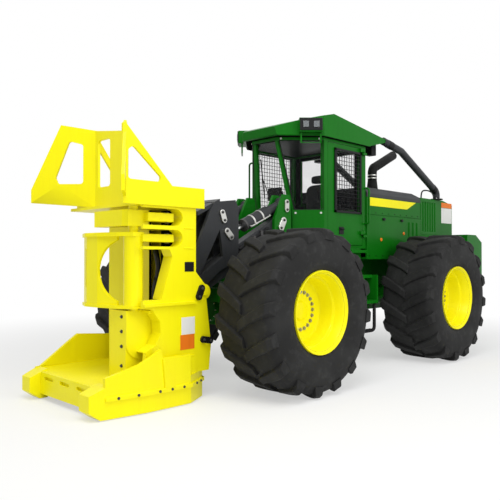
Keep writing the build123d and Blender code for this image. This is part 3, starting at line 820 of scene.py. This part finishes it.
@dataclass
class Studio:
    """Floor, light and camera."""

    lens: float = 42.50
    sensor: float = 36.0
    far: float = 200.0
    spot: tuple = (6.5006, 5.4058, 1.4944)
    yaw: float = -2.3576
    pitch: float = 0.0104
    lamps: tuple = (("key", (5.4, 3.9, 8.5), (0.6, 0.0, 1.2), 460.0),
                    ("fill", (0.5, 9.5, 5.5), (0.0, 0.0, 1.4), 300.0))
    lamp_size: float = 6.0
    ambient: float = 0.55
    floor_reach: float = 60.0
    floor_colour: Colour = (0.88, 0.88, 0.87)
    floor_glow: float = 0.5
    glow_fade: tuple = (3.5, 9.0)

    def hang(self, data: bpy.types.Camera | bpy.types.Light, spot: Vector, way: Vector) -> bpy.types.Object:
        """Sets a camera or lamp in the scene.

        Args:
            data: the camera or lamp.
            spot: its place.
            way: the way that it faces.

        Returns:
            The new object.
        """
        made = bpy.data.objects.new(data.name, data)
        made.location = spot
        made.rotation_mode = "QUATERNION"
        made.rotation_quaternion = way.to_track_quat("-Z", "Y")
        bpy.context.scene.collection.objects.link(made)
        return made

    def camera(self) -> None:
        """Places the camera where the photograph was taken from."""
        data = bpy.data.cameras.new("camera")
        data.lens = self.lens
        data.sensor_width = self.sensor
        data.clip_end = self.far
        level = math.cos(self.pitch)
        way = Vector((math.cos(self.yaw) * level, math.sin(self.yaw) * level, math.sin(self.pitch)))
        bpy.context.scene.camera = self.hang(data, at(*self.spot), way)

    def light(self) -> None:
        """Hangs the large soft lamps."""
        for name, spot, aim, power in self.lamps:
            data = bpy.data.lights.new(name, "AREA")
            data.shape = "DISK"
            data.size = self.lamp_size
            data.energy = power
            self.hang(data, at(*spot), at(*aim) - at(*spot))

    def world(self) -> None:
        """Pale surroundings that show white and light softly."""
        world = bpy.data.worlds.new("studio")
        bpy.context.scene.world = world
        shader = Shader(world, "Background")
        shader.set(Color=WHITE, Strength=self.ambient)
        shader.show(shader.node("ShaderNodeBackground", {}, {"Color": WHITE, "Strength": 1.0}), "World Output")

    def floor(self) -> None:
        """Plain pale floor that keeps the soft shadow."""
        r = self.floor_reach
        data = bpy.data.meshes.new("floor")
        data.from_pydata([(-r, -r, 0), (r, -r, 0), (r, r, 0), (-r, r, 0)], [], [(0, 1, 2, 3)])
        made = bpy.data.objects.new("floor", data)
        bpy.context.scene.collection.objects.link(made)
        shader = Shader(bpy.data.materials.new("pale_floor"))
        data.materials.append(shader.set(Base_Color=self.floor_colour, Roughness=0.9, Specular_IOR_Level=0.1))
        away = shader.node("ShaderNodeVectorMath", {"operation": "LENGTH"}, {0: shader.place()}, out="Value")
        shader.show(shader.node("ShaderNodeEmission"), "Material Output", away.span(*self.glow_fade, self.floor_glow))

    def build(self) -> None:
        """Sets up the studio."""
        bpy.context.scene.view_settings.view_transform = "Standard"
        self.camera()
        self.world()
        self.floor()
        self.light()


@dataclass
class Guard:
    """Wire mesh in a flat frame over a window."""

    node: str
    body: str
    pitch: float = 0.055
    wire: float = 0.004
    border: float = 0.028
    lap: float = 0.01

    def build(self) -> None:
        """Builds the frame and the crossed wires."""
        low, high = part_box(self.node)
        middle = (low.y + high.y) / 2
        form = Form()
        for x in (low.x, high.x - self.border):
            form.box((x, low.y, low.z), (x + self.border, high.y, high.z))
        for z in (low.z, high.z - self.border):
            form.box((low.x, low.y, z), (high.x, high.y, z + self.border))
        columns = round((high.x - low.x) / self.pitch)
        rows = round((high.z - low.z) / self.pitch)
        for i in range(1, columns):
            x = low.x + (high.x - low.x) * i / columns
            y = middle - self.wire
            form.rod((x, y, low.z + self.lap), (x, y, high.z - self.lap), self.wire, 6)
        for i in range(1, rows):
            z = low.z + (high.z - low.z) * i / rows
            y = middle + self.wire
            form.rod((low.x + self.lap, y, z), (high.x - self.lap, y, z), self.wire, 6)
        form.piece(f"{self.node}_mesh", self.body, Finish.BLACK, replaces=[self.node])


@dataclass
class Hood:
    """Side stripes, blank plates, markers, grips, panel screws, latches and the ribs of the hood's top."""

    stripe: tuple = ((-0.63, 2.215), (-0.63, 2.335), (-1.95, 2.335), (-1.68, 2.215))
    inset: float = 0.014
    screw_rows: tuple = (2.12, 1.50)
    latch_spots: tuple = (-1.05, -1.55)
    markers: tuple = ((-0.95, 1.735), (-1.58, 1.84))
    grip: tuple = ((-2.44, 2.39), (-2.45, 2.56), (-2.55, 2.60), (-2.75, 2.60), (-2.87, 2.55), (-2.89, 2.37))

    def rear(self) -> None:
        """Builds the blank plates, the markers and the grips."""
        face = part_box("rear_hood")[1].y
        orange, grips = Form(), Form()
        for side in SIDES:
            for x, z in self.markers:
                orange.rod(at(x, (face - 0.001) * side, z), at(x, (face + 0.008) * side, z), 0.026, 24, 0.022)
            grips.pipe([at(x, 0.5 * side, z) for x, z in self.grip], 0.012)
        orange.box(at(-3.16, face, 2.31), at(-2.79, face + 0.003, 2.395))
        blocks("hood_pale_plate", REAR, Finish.PALE, 0.001, (-3.16, face, 2.05, -2.79, face + 0.003, 2.305))
        orange.piece("hood_orange_plates", REAR, Finish.ORANGE, bevel=0.001)
        grips.piece("hood_grips", REAR, Finish.BLACK, smooth=True)

    def build(self) -> None:
        """Builds the hood's trim on both sides."""
        self.rear()
        wide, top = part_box("hood_sides")[1].y - self.inset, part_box("hood_top")[1].z
        stripes, screws, ribs, latches = Form(), Form(), Form(), Form()
        for side in SIDES:
            face = side * wide
            stripes.prism([at(x, face, z) for x, z in self.stripe], (0, 0.003 * side, 0))
            for i in range(9):
                for z in self.screw_rows:
                    screws.bolt(at(-0.64 - 0.17 * i, face, z), (0, side, 0), 0.008)
            for x in self.latch_spots:
                latches.box(at(x, face, 2.02), at(x + 0.07, face + 0.016 * side, 2.05))
                latches.rod(at(x + 0.035, face, 2.035), at(x + 0.035, face + 0.024 * side, 2.035), 0.02, 16)
        for i in range(16):
            x = -0.86 - 0.062 * i
            ribs.box(at(x, -0.5, top - 0.002), at(x + 0.03, 0.5, top + 0.004))
        stripes.piece("hood_stripes", REAR, Finish.YELLOW, bevel=0.001)
        screws.piece("hood_screws", REAR, Finish.BLACK)
        latches.piece("hood_latches", REAR, Finish.BLACK, bevel=0.003)
        ribs.piece("hood_top_ribs", REAR, Finish.BLACK, bevel=0.002)


@dataclass
class TopTubes:
    """Sleeves on the limb risers, and the intake elbow with its clamps."""

    riser_y: float = 0.66
    sleeve: float = 0.0605
    sleeve_ends: tuple = (((-1.15, 3.169), (-1.27, 3.148)), ((-2.52, 2.6275), (-2.60, 2.589)))
    foot: tuple = (-2.66, 2.43, 2.446)
    foot_radius: float = 0.105
    foot_bolts: float = 0.085
    stack: tuple = (-1.30, 0.30)
    elbow: tuple = ((-1.30, 0.30, 2.66), (-1.30, 0.30, 2.85), (-1.42, 0.30, 2.90), (-1.90, 0.30, 3.125))
    elbow_radius: float = 0.070
    clamp_heights: tuple = (2.69, 2.735)

    def build(self) -> None:
        """Builds the tubes' fittings."""
        sleeves, clamps, stack = Form(), Form(), Form()
        x, low, high = self.foot
        for side in SIDES:
            y = side * self.riser_y
            for a, b in self.sleeve_ends:
                sleeves.rod(at(a[0], y, a[1]), at(b[0], y, b[1]), self.sleeve, 28)
            sleeves.rod(at(x, y, low), at(x, y, high), self.foot_radius, 28)
            clamps.bolt_ring(at(x, y, high), (0, 0, 1), self.foot_bolts, 6, 0.012, 0.5)
        stack.rod(at(*self.stack, 2.478), at(*self.stack, 2.665), 0.092, 36, self.elbow_radius)
        stack.pipe([at(*p) for p in self.elbow], self.elbow_radius, 32, 14)
        for z in self.clamp_heights:
            clamps.rod(at(*self.stack, z), at(*self.stack, z + 0.016), self.elbow_radius + 0.004, 36)
        stack.piece("intake_elbow", REAR, Finish.RUBBER, smooth=True, replaces=["intake_stack"])
        sleeves.piece("riser_sleeves", REAR, Finish.BLACK, bevel=0.002)
        clamps.piece("tube_clamps", REAR, Finish.ZINC, bevel=0.001)


@dataclass
class Cab:
    """Seat, levers, lamps, head lining, painted shade on the walls, wiper and handle."""

    seat_base: float = 1.98
    lever_y: float = 0.33
    door_face: float = 0.66
    lamp: tuple = (0.565, 0.588, 3.175)
    lamp_shift: float = 0.068
    head_lining: tuple = ((0.70, 0.16), (0.33, 0.58), (-0.51, 0.58))
    corner_lines: tuple = (((0.634, 0.340), (0.370, 0.660), 2.06), ((0.820, 0.220), (0.370, 0.660), 3.03))

    def seat(self) -> None:
        """Builds the driver's seat with cushion, back and head rest."""
        low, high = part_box("seat")
        stand, pads = Form(), Form()
        mid, top = (low.x + high.x) / 2, self.seat_base
        stand.box((mid - 0.05, -0.17, low.z), (mid + 0.17, 0.17, top))
        stand.box((low.x + 0.13, -0.22, top - 0.02), (high.x - 0.02, 0.22, top + 0.02))
        stand.piece("seat_pedestal", REAR, Finish.BLACK, bevel=0.012, replaces=["seat"])
        pads.pillow((low.x + 0.10, -0.235, top + 0.02), (high.x, 0.235, top + 0.12))
        pads.pillow((low.x + 0.005, -0.225, top + 0.08), (low.x + 0.12, 0.225, high.z - 0.13))
        pads.pillow((low.x, -0.14, high.z - 0.12), (low.x + 0.09, 0.14, high.z))
        pads.piece("seat_cushions", REAR, Finish.SEAT, smooth=True)

    def levers(self) -> None:
        """Builds the two hand levers, and a screen on its post."""
        form = Form()
        for side in SIDES:
            y = side * self.lever_y
            form.rod(at(0.06, y, 2.22), at(0.06, y, 2.27), 0.035, 20, 0.018)
            form.pipe([at(0.06, y, 2.26), at(0.065, y, 2.33), at(0.09, y - 0.01 * side, 2.40)], 0.016)
            form.rod(at(0.088, y, 2.38), at(0.10, y, 2.44), 0.024, 16, 0.02)
        form.box(at(0.33, -0.36, 2.28), at(0.36, -0.12, 2.46))
        form.rod(at(0.36, -0.24, 1.95), at(0.345, -0.24, 2.29), 0.014)
        form.piece("cab_levers", REAR, Finish.BLACK, bevel=0.004)

    def lamps(self) -> None:
        """Builds the faces, bezels and lenses of the roof lamps."""
        lenses, bowls, faces = Form(), Form(), Form()
        for side in SIDES:
            way = Vector((1, side, 0)).normalized()
            across = Vector((-way.y, way.x, 0))
            x, y, z = self.lamp
            middle = at(x, y * side, z)
            faces.panel(middle + way * 0.108, across, (0.145, 0.078), way * 0.016)
            for shift in SIDES:
                centre = middle + way * 0.123 + across * self.lamp_shift * shift
                bowls.panel(centre, across, (0.043, 0.0473), way * 0.004)
                lenses.panel(centre, across, (0.036, 0.0396), way * 0.008)
        faces.piece("lamp_faces", REAR, Finish.BLACK, bevel=0.004)
        bowls.piece("lamp_bezels", REAR, Finish.BLACK, bevel=0.002)
        lenses.piece("lamp_lenses", REAR, Finish.LENS, bevel=0.002)

    def fittings(self) -> None:
        """Builds the door handle, its lock plate, the front wiper and the head lining."""
        handle, wiper, lining = Form(), Form(), Form()
        face = self.door_face
        handle.box(at(-0.05, face, 1.79), at(0.05, face + 0.008, 1.89))
        bow = ((-0.032, 0.006), (-0.032, 0.04), (0.032, 0.04), (0.032, 0.006))
        handle.pipe([at(x, face + out, 1.86) for x, out in bow], 0.008)
        handle.piece("door_handle", "door", Finish.BLACK, bevel=0.002)
        wiper.rod(at(0.612, 0.02, 2.085), at(0.645, 0.02, 2.10), 0.02, 16)
        wiper.rod(at(0.640, 0.02, 2.10), at(0.722, -0.10, 2.52), 0.007, 8, 0.005)
        wiper.rod(at(0.676, -0.12, 2.28), at(0.776, -0.10, 2.80), 0.008, 8)
        wiper.piece("front_wiper", REAR, Finish.BLACK)
        lining.prism(mirrored(self.head_lining, 3.030), (0, 0, 0.0195))
        lining.piece("cab_head_lining", REAR, Finish.BLACK, bevel=0.004)

    def walls(self) -> None:
        """Builds black sheets of painted shade on the rear and right walls, where the inside of the cab falls dark, and
        the bolts at the corner windows' corners.
        """
        # Painted shade: flat black sheets on the cab's inner walls, standing for the shade inside the cab
        blocks("cab_wall_painted_shade", REAR, Finish.PAINTED_SHADE, 0.0, (-0.5405, -0.615, 1.66, -0.536, 0.615, 2.138),
               (-0.5405, -0.598, 2.138, -0.536, -0.502, 3.028), (-0.5405, 0.502, 2.138, -0.536, 0.598, 3.028),
               (-0.5405, -0.502, 2.962, -0.536, 0.502, 3.028), (-0.53, -0.6205, 1.66, 0.33, -0.616, 2.06))
        bolts = Form()
        for a, b, z in self.corner_lines:
            for side in SIDES:
                for t in (0.1, 0.9):
                    x, y = along(a, b, t)
                    bolts.bolt(at(x, side * y, z), (b[1] - a[1], side * (a[0] - b[0]), 0), 0.014)
        bolts.piece("window_corner_bolts", REAR, Finish.ZINC)

    def build(self) -> None:
        """Builds the cab's trim."""
        self.seat()
        self.levers()
        self.lamps()
        self.fittings()
        self.walls()


@dataclass
class BoomFittings:
    """Pin keepers, and the rigid oil lines with their clamps."""

    keepers: tuple = ((FRONT, (0.855, 2.135), (0.165, 0.075), 0.0, 0.425),
                      (FRONT, (0.940, 1.900), (0.190, 0.095), -28.0, 0.425),
                      (BOOM, (1.945, 1.950), (0.160, 0.075), 20.0, 0.420),
                      (BOOM, (1.855, 1.750), (0.165, 0.080), 45.0, 0.420))
    depth: float = 0.024
    line_ends: tuple = ((1.15, 1.845), (1.66, 1.578))
    line_gap: float = 0.045
    line_radius: float = 0.012

    def lines(self) -> None:
        """Builds the oil lines on the outer faces of the arms."""
        tubes, clamps = Form(), Form()
        (x0, z0), (x1, z1) = self.line_ends
        for side in SIDES:
            y = 0.394 * side
            for drop in (0.0, self.line_gap):
                tubes.rod(at(x0, y, z0 - drop), at(x1, y, z1 - drop), self.line_radius)
                for x, z, way in ((x0, z0, 1), (x1, z1, -1)):
                    tubes.rod(at(x, y, z - drop), at(x + 0.05 * way, y, z - drop - 0.026 * way), 0.017, 6)
            for t in (0.25, 0.5, 0.75):
                x, z = along(*self.line_ends, t)
                clamps.box(at(x - 0.02, 0.379 * side, z - 0.075), at(x + 0.02, 0.41 * side, z + 0.03))
        tubes.piece("boom_oil_lines", BOOM, Finish.BLACK, bevel=0.001)
        clamps.piece("boom_line_clamps", BOOM, Finish.CAST, bevel=0.004)

    def build(self) -> None:
        """Builds the keepers on both sides and the oil lines."""
        self.lines()
        plates = {body: Form() for body in (FRONT, BOOM)}
        screws = {body: Form() for body in (FRONT, BOOM)}
        for body, (x, z), size, lean, y in self.keepers:
            for side in SIDES:
                spot = at(x, y * side, z)
                plates[body].keeper(screws[body], spot, size, lean, self.depth * side, (0.3, 0.017))
        for body, form in plates.items():
            form.piece(f"{body}_pin_keepers", body, Finish.ZINC, bevel=0.004)
        for body, form in screws.items():
            form.piece(f"{body}_keeper_bolts", body, Finish.CAST)


@dataclass
class HeadFittings:
    """Bolts, keepers, blank plates, painted shade inside the tower and oil lines of the felling head."""

    face: float = 0.66
    shaft_bolts: tuple = (0.42, 0.61, 0.756, 0.90)
    lip_bolts: tuple = (((3.62, 0.7265), (3.22, 0.7843), 2), ((3.16, 0.787), (2.72, 0.787), 3),
                        ((2.64, 0.762), (2.43, 0.6426), 2))
    keepers: tuple = ((2.49, 1.115, (0.17, 0.075), -24.0), (2.40, 0.61, (0.17, 0.07), 80.0))
    tail_heights: tuple = (1.675, 1.885)
    weld_heights: tuple = (1.575, 1.78)
    rib: tuple = ((3.05, 0.50), (3.035, 0.50), (2.90, 0.214), (3.02, 0.214))
    notch: tuple = ((2.980, 1.065), (2.845, 1.490), (2.880, 1.562))
    bay: tuple = ((3.170, 0.560), (3.050, 0.620), (2.990, 0.735), (3.000, 0.850), (3.090, 0.970), (3.200, 0.985))
    tower_lines: tuple = ((2.66, 0.44), (2.70, 0.50), (2.72, 0.36), (2.79, 0.46), (2.80, 0.30), (2.86, 0.40))

    def inside(self) -> None:
        """Builds black sheets of painted shade in the tower's left side, where its recess falls dark, and the oil lines
        there.
        """
        tubes = Form()
        for x, y in self.tower_lines:
            tubes.pipe([at(x, y, 0.957), at(x + 0.02, y, 1.15), at(x - 0.03, y + 0.03, 1.35), at(x, y, 1.563)], 0.022)
        # Painted shade: flat black sheets on the tower's inner walls, standing for the shade in its recess
        blocks("tower_painted_shade", HEAD, Finish.PAINTED_SHADE, 0.001, (2.6005, 0.14, 0.96, 2.604, 0.618, 1.988),
               (2.732, 0.1355, 0.96, 2.758, 0.139, 1.988))
        tubes.piece("tower_oil_lines", HEAD, Finish.BLACK, smooth=True)

    def rims(self) -> None:
        """Builds the rims of the tower's cut-outs, its weld beads, the base's rib and the throat's backing."""
        form, welds, rib = Form(), Form(), Form()
        arc = [(math.cos(math.pi * (1.5 - i / 12)), math.sin(math.pi * (1.5 - i / 12))) for i in range(13)]
        slots = [[(2.80 + 0.085 * c, z + 0.085 * s) for c, s in arc] for z in self.tail_heights]
        for line in (self.notch, self.bay, *slots):
            form.ribbon(line, 0.508, 0.62, 0.012)
        for z in self.weld_heights:
            welds.rod(at(2.57, self.face, z), at(2.70, self.face, z), 0.006, 8)
        rib.prism([at(x, 0.764, z) for x, z in self.rib], (0, 0.021, 0))
        blocks("throat_backing", HEAD, Finish.YELLOW, 0.001, (3.630, -0.45, 0.20, 3.641, 0.45, 0.265))
        form.piece("tower_cut_rims", HEAD, Finish.YELLOW, bevel=0.002)
        welds.piece("tower_welds", HEAD, Finish.YELLOW)
        rib.piece("base_rib", HEAD, Finish.YELLOW, bevel=0.003)

    def tails(self) -> None:
        """Builds the lever tails of the two arms, behind their shaft."""
        for body, z, front, inner, half in (("accumulator", self.tail_heights[0], 3.16, 0.50, 0.04),
                                            ("clamp", self.tail_heights[1], 3.10, 0.48, 0.045)):
            tail, pins = Form(), Form()
            tail.box(at(2.78, inner, z - half), at(front, 0.60, z + half))
            pins.rod(at(2.83, 0.545, z - half - 0.012), at(2.83, 0.545, z + half + 0.012), 0.024, 20)
            tail.piece(f"{body}_tail", body, Finish.YELLOW, bevel=0.01)
            pins.piece(f"{body}_tail_pin", body, Finish.CAST, bevel=0.002)

    def plates(self) -> None:
        """Builds the blank plates on the tower's left side."""
        for name, finish, x0, x1, z0, z1 in (("pale_plate", Finish.PALE, 2.556, 2.731, 0.691, 0.868),
                                             ("orange_plate", Finish.ORANGE, 2.561, 2.746, 0.538, 0.689),
                                             ("dark_plate", Finish.BLACK, 2.568, 2.690, 1.335, 1.435)):
            blocks(name, HEAD, finish, 0.001, (x0, self.face, z0, x1, self.face + 0.003, z1))

    def build(self) -> None:
        """Builds the head's fittings."""
        self.inside()
        self.rims()
        self.tails()
        self.plates()
        bolts, keepers = Form(), Form()
        for z in self.shaft_bolts:
            bolts.bolt(at(3.285, 0.424, z), (1, 0, 0), 0.018)
        for side in SIDES:
            for a, b, count in self.lip_bolts:
                for i in range(count):
                    x, y = along(a, b, (i + 0.5) / count)
                    bolts.bolt(at(x, side * y, 0.195), (b[1] - a[1], side * (a[0] - b[0]), 0), 0.014)
            for x, z, size, lean in self.keepers:
                keepers.keeper(bolts, at(x, side * self.face, z), size, lean, 0.026 * side, (0.28, 0.016))
        bolts.piece("head_bolts", HEAD, Finish.CAST)
        keepers.piece("head_pin_keepers", HEAD, Finish.BLACK, bevel=0.004)


@dataclass
class TailFittings:
    """Rear lamps, cover bolts and the screen behind the grille."""

    face: float = -3.235
    lamp_y: float = 0.93
    lamp_z: float = 1.56
    screen_x: float = -3.147
    wire: float = 0.003

    def build(self) -> None:
        """Builds the tail's fittings."""
        bezels, lenses, bolts, screen = Form(), Form(), Form(), Form()
        for side in SIDES:
            y = self.lamp_y * side
            bezels.box(at(self.face - 0.005, y - 0.12, self.lamp_z - 0.06),
                       at(self.face + 0.002, y + 0.12, self.lamp_z + 0.06))
            for shift in (-0.055, 0.055):
                lenses.box(at(self.face - 0.009, y + shift - 0.048, self.lamp_z - 0.048),
                           at(self.face - 0.004, y + shift + 0.048, self.lamp_z + 0.048))
            for away in (0.50, 0.80, 1.10):
                for z in (1.12, 1.40):
                    bolts.bolt(at(self.face, away * side, z), (-1, 0, 0), 0.010)
        for i in range(49):
            y = -0.60 + 1.2 * i / 48
            screen.rod(at(self.screen_x, y, 1.90), at(self.screen_x, y, 2.32), self.wire, 6)
        for i in range(18):
            z = 1.90 + 0.42 * i / 17
            screen.rod(at(self.screen_x + self.wire, -0.61, z), at(self.screen_x + self.wire, 0.61, z), self.wire, 6)
        bezels.piece("tail_lamp_bezels", REAR, Finish.BLACK, bevel=0.002)
        lenses.piece("tail_lamp_lenses", REAR, Finish.RED, bevel=0.002)
        bolts.piece("tail_bolts", REAR, Finish.ZINC)
        screen.piece("grille_screen", REAR, Finish.BLACK)


@dataclass
class RoofTrim:
    """Hatch, edge bolts, painted shade under the roof and window seals of the cab."""

    ridge: tuple = (0.22, 3.37)
    slope: float = 0.129
    hatch: tuple = (-0.20, -0.72, 0.30)
    seal: float = 0.008
    underside_shade: tuple = ((0.868, 0.290), (0.428, 0.706), (-0.635, 0.700))

    def top(self, x: float, y: float, lift: float) -> Vector:
        """Point above the roof's rear slope."""
        return at(x, y, self.ridge[1] - self.slope * (self.ridge[0] - x) + lift)

    def build(self) -> None:
        """Builds the roof's trim, a black sheet of painted shade under its overhang and the seals round the glass."""
        hatch, bolts, seals, underside_shade = Form(), Form(), Form(), Form()
        out = (-self.slope, 0, 1)
        # Painted shade: a flat black sheet under the roof's overhang, standing for its shaded underside
        underside_shade.prism(mirrored(self.underside_shade, 3.0455), (0, 0, 0.005))
        underside_shade.piece("roof_soffit", REAR, Finish.PAINTED_SHADE)
        for grow, low, high in ((0.04, -0.002, 0.006), (0.0, 0.005, 0.022)):
            front, rear, wide = self.hatch[0] + grow, self.hatch[1] - grow, self.hatch[2] + grow
            plan = ((front, -wide), (front, wide), (rear, wide), (rear, -wide))
            hatch.skin([[self.top(x, y, lift) for x, y in plan] for lift in (low, high)])
        for side in SIDES:
            for i in range(7):
                bolts.bolt(self.top(0.05 - 0.15 * i, 0.66 * side, 0.0), out, 0.011)
            hatch.pipe([self.top(-0.62, 0.08 * side, 0.02), self.top(-0.62, 0.08 * side, 0.06),
                        self.top(-0.62, 0.0, 0.06)], 0.008)
            low = [at(0.364, 0.640 * side, 2.104), at(0.600, 0.350 * side, 2.104)]
            high = [at(0.364, 0.640 * side, 3.006), at(0.782, 0.242 * side, 3.006)]
            for a, b in ((low[0], low[1]), (high[0], high[1]), (low[0], high[0]), (low[1], high[1])):
                seals.rod(a, b, self.seal, 8)
        for z, x, y in ((2.104, 0.606, 0.30), (3.006, 0.781, 0.18)):
            seals.rod(at(x, -y, z), at(x, y, z), self.seal, 8)
        hatch.piece("roof_hatch", REAR, Finish.GREEN, bevel=0.003)
        bolts.piece("roof_bolts", REAR, Finish.GREEN)
        seals.piece("window_seals", REAR, Finish.RUBBER)


@dataclass
class FrameFittings:
    """Axle covers and bolts, cap of the frame hinge, lowest step, and the cylinders' sleeves, lines and glands."""

    axles: tuple = ((FRONT, 1.5575, 1), (REAR, -1.5575, -1))
    axle_z: float = 0.90
    cover_z: float = 0.85
    flange_y: float = 0.56
    bolt_circle: float = 0.195
    sleeve: float = 0.076
    bore: float = 0.0563
    glands: tuple = (("lift_barrel", (0.830, 2.174), (1.826, 1.727), 0.32, 0.735, 0.764, 0.079),
                     ("tilt_barrel", (1.920, 1.980), (2.380, 0.600), 0.14, 0.930, 0.964, 0.069))

    def step(self) -> None:
        """Builds the rubber loop of the lowest step, with its tread."""
        (x0, y0, z0), (x1, y1, z1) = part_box("bottom_step")
        y, r = (y0 + y1) / 2, (y1 - y0) / 2
        a, b, c = x0 + r, x1 - r, z0 + r
        loop, tread = Form(), Form()
        line = ((a, z1), (a, c + 0.12), (a, c), ((a + b) / 2, c), (b, c), (b, c + 0.12), (b, z1))
        loop.pipe([(x, y, z) for x, z in line], r)
        for i in range(4):
            x = a + 0.075 + 0.04 * i
            tread.box((x, y0, c + r - 0.008), (x + 0.018, y1, c + r + 0.005))
        loop.piece("step_loop", REAR, Finish.RUBBER, smooth=True, replaces=["bottom_step"])
        tread.piece("step_tread", REAR, Finish.RUBBER, bevel=0.002)

    def axis(self, start: Point, end: Point, y: float) -> tuple[Vector, Vector]:
        """First eye of a cylinder and the unit way to its other eye."""
        eye = at(start[0], y, start[1])
        return eye, (at(end[0], y, end[1]) - eye).normalized()

    def lift_barrels(self) -> None:
        """Builds the sleeve of each lift cylinder, its steel oil line and the bands that hold it."""
        body, start, end, y = self.glands[0][:4]
        sleeves, tubes, bands = Form(), Form(), Form()
        for side in SIDES:
            a, way = self.axis(start, end, y * side)
            out = Vector((0, side, 0)) + Vector((way.z, 0, -way.x)) * 0.5
            out = out.normalized() * (self.sleeve + 0.010)
            sleeves.rod(a + way * 0.30, a + way * 0.735, self.sleeve, 48, bore=self.bore)
            tubes.rod(a + way * 0.34 + out, a + way * 0.70 + out, 0.009)
            for t in (0.34, 0.70):
                tubes.rod(a + way * t + out * 0.8, a + way * t + out * 1.06, 0.013)
            for t in (0.44, 0.60):
                bands.rod(a + way * t, a + way * (t + 0.025), self.sleeve + 0.003, 48)
                bands.rod(a + way * t + out, a + way * (t + 0.025) + out, 0.015, 16)
        sleeves.piece("lift_barrel_sleeves", body, Finish.GREY, bevel=0.004)
        tubes.piece("lift_barrel_lines", body, Finish.ZINC)
        bands.piece("lift_barrel_bands", body, Finish.ZINC, bevel=0.001)

    def build(self) -> None:
        """Builds the fittings of the frames and cylinders."""
        for body, x, way in self.axles:
            cover, bolts = Form(), Form()
            for side in SIDES:
                bolts.bolt_ring(at(x, self.flange_y * side, self.axle_z), (0, -side, 0), self.bolt_circle, 12, 0.014)
            face = x + 0.21 * way
            cover.rod(at(face, 0, self.cover_z), at(face + 0.03 * way, 0, self.cover_z), 0.15, 40, 0.135)
            bolts.bolt_ring(at(face + 0.022 * way, 0, self.cover_z), (way, 0, 0), 0.13, 10, 0.011)
            cover.piece(f"{body}_axle_cover", body, Finish.GREEN, bevel=0.004)
            bolts.piece(f"{body}_axle_bolts", body, Finish.ZINC)
        cap = Form()
        cap.rod(at(0, 0, 1.358), at(0, 0, 1.376), 0.10, 40, 0.094)
        cap.bolt_ring(at(0, 0, 1.376), (0, 0, 1), 0.07, 6, 0.013)
        cap.piece("hinge_cap", FRONT, Finish.CAST, bevel=0.002)
        self.step()
        self.lift_barrels()
        for body, start, end, y, low, high, radius in self.glands:
            ring = Form()
            for side in SIDES:
                a, way = self.axis(start, end, y * side)
                ring.rod(a + way * low, a + way * high, radius, 32)
            ring.piece(f"{body}_glands", body, Finish.CAST, bevel=0.003)


@dataclass
class PlainNodes:
    """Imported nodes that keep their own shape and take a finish."""

    finishes: dict = field(default_factory=lambda: {
        Finish.GREEN: ("rear_chassis", "hood_sides", "rear_hood", "rear_bumper", "cab_shell", "cab_roof", "cab_door",
                       "front_chassis", "access_steps", "tow_hitch", "rear_axle", "front_axle", "hand_rails"),
        Finish.YELLOW: ("head_tower", "head_base", "head_horns", "throat_guard", "clamp_arm", "accumulator_arm"),
        Finish.GREY: ("boom_arms", "boom_knees", "hose_tray", "lift_barrels", "tilt_barrels", "limb_risers",
                      "hood_top"),
        Finish.BLACK: ("roof_lamps", "console"),
        Finish.CHROME: ("lift_rods", "tilt_rods"),
        Finish.CAST: ("engine_block", "cooler_block"),
        Finish.STEEL: ("saw_disc",),
        Finish.GLASS: ("cab_glass", "door_glass"),
    })
    edge: float = 0.005

    def build(self) -> None:
        """Dresses every node that shows."""
        for finish, nodes in self.finishes.items():
            for node in nodes:
                dress(node, finish, 0.0 if finish is Finish.GLASS else self.edge)


def main() -> None:
    """Builds the sub-assemblies in order."""
    logging.basicConfig(level=logging.INFO, format="%(message)s")
    PlainNodes().build()
    for end in ("front", "rear"):
        for side in ("left", "right"):
            Wheel(end, side).build()
    Guard("door_guard", "door").build()
    Guard("window_guards", REAR).build()
    for part in (Hood(), TopTubes(), Cab(), RoofTrim(), TailFittings(), FrameFittings(), BoomFittings(), HeadFittings(),
                 Studio()):
        part.build()


if __name__ == "__main__":
    main()
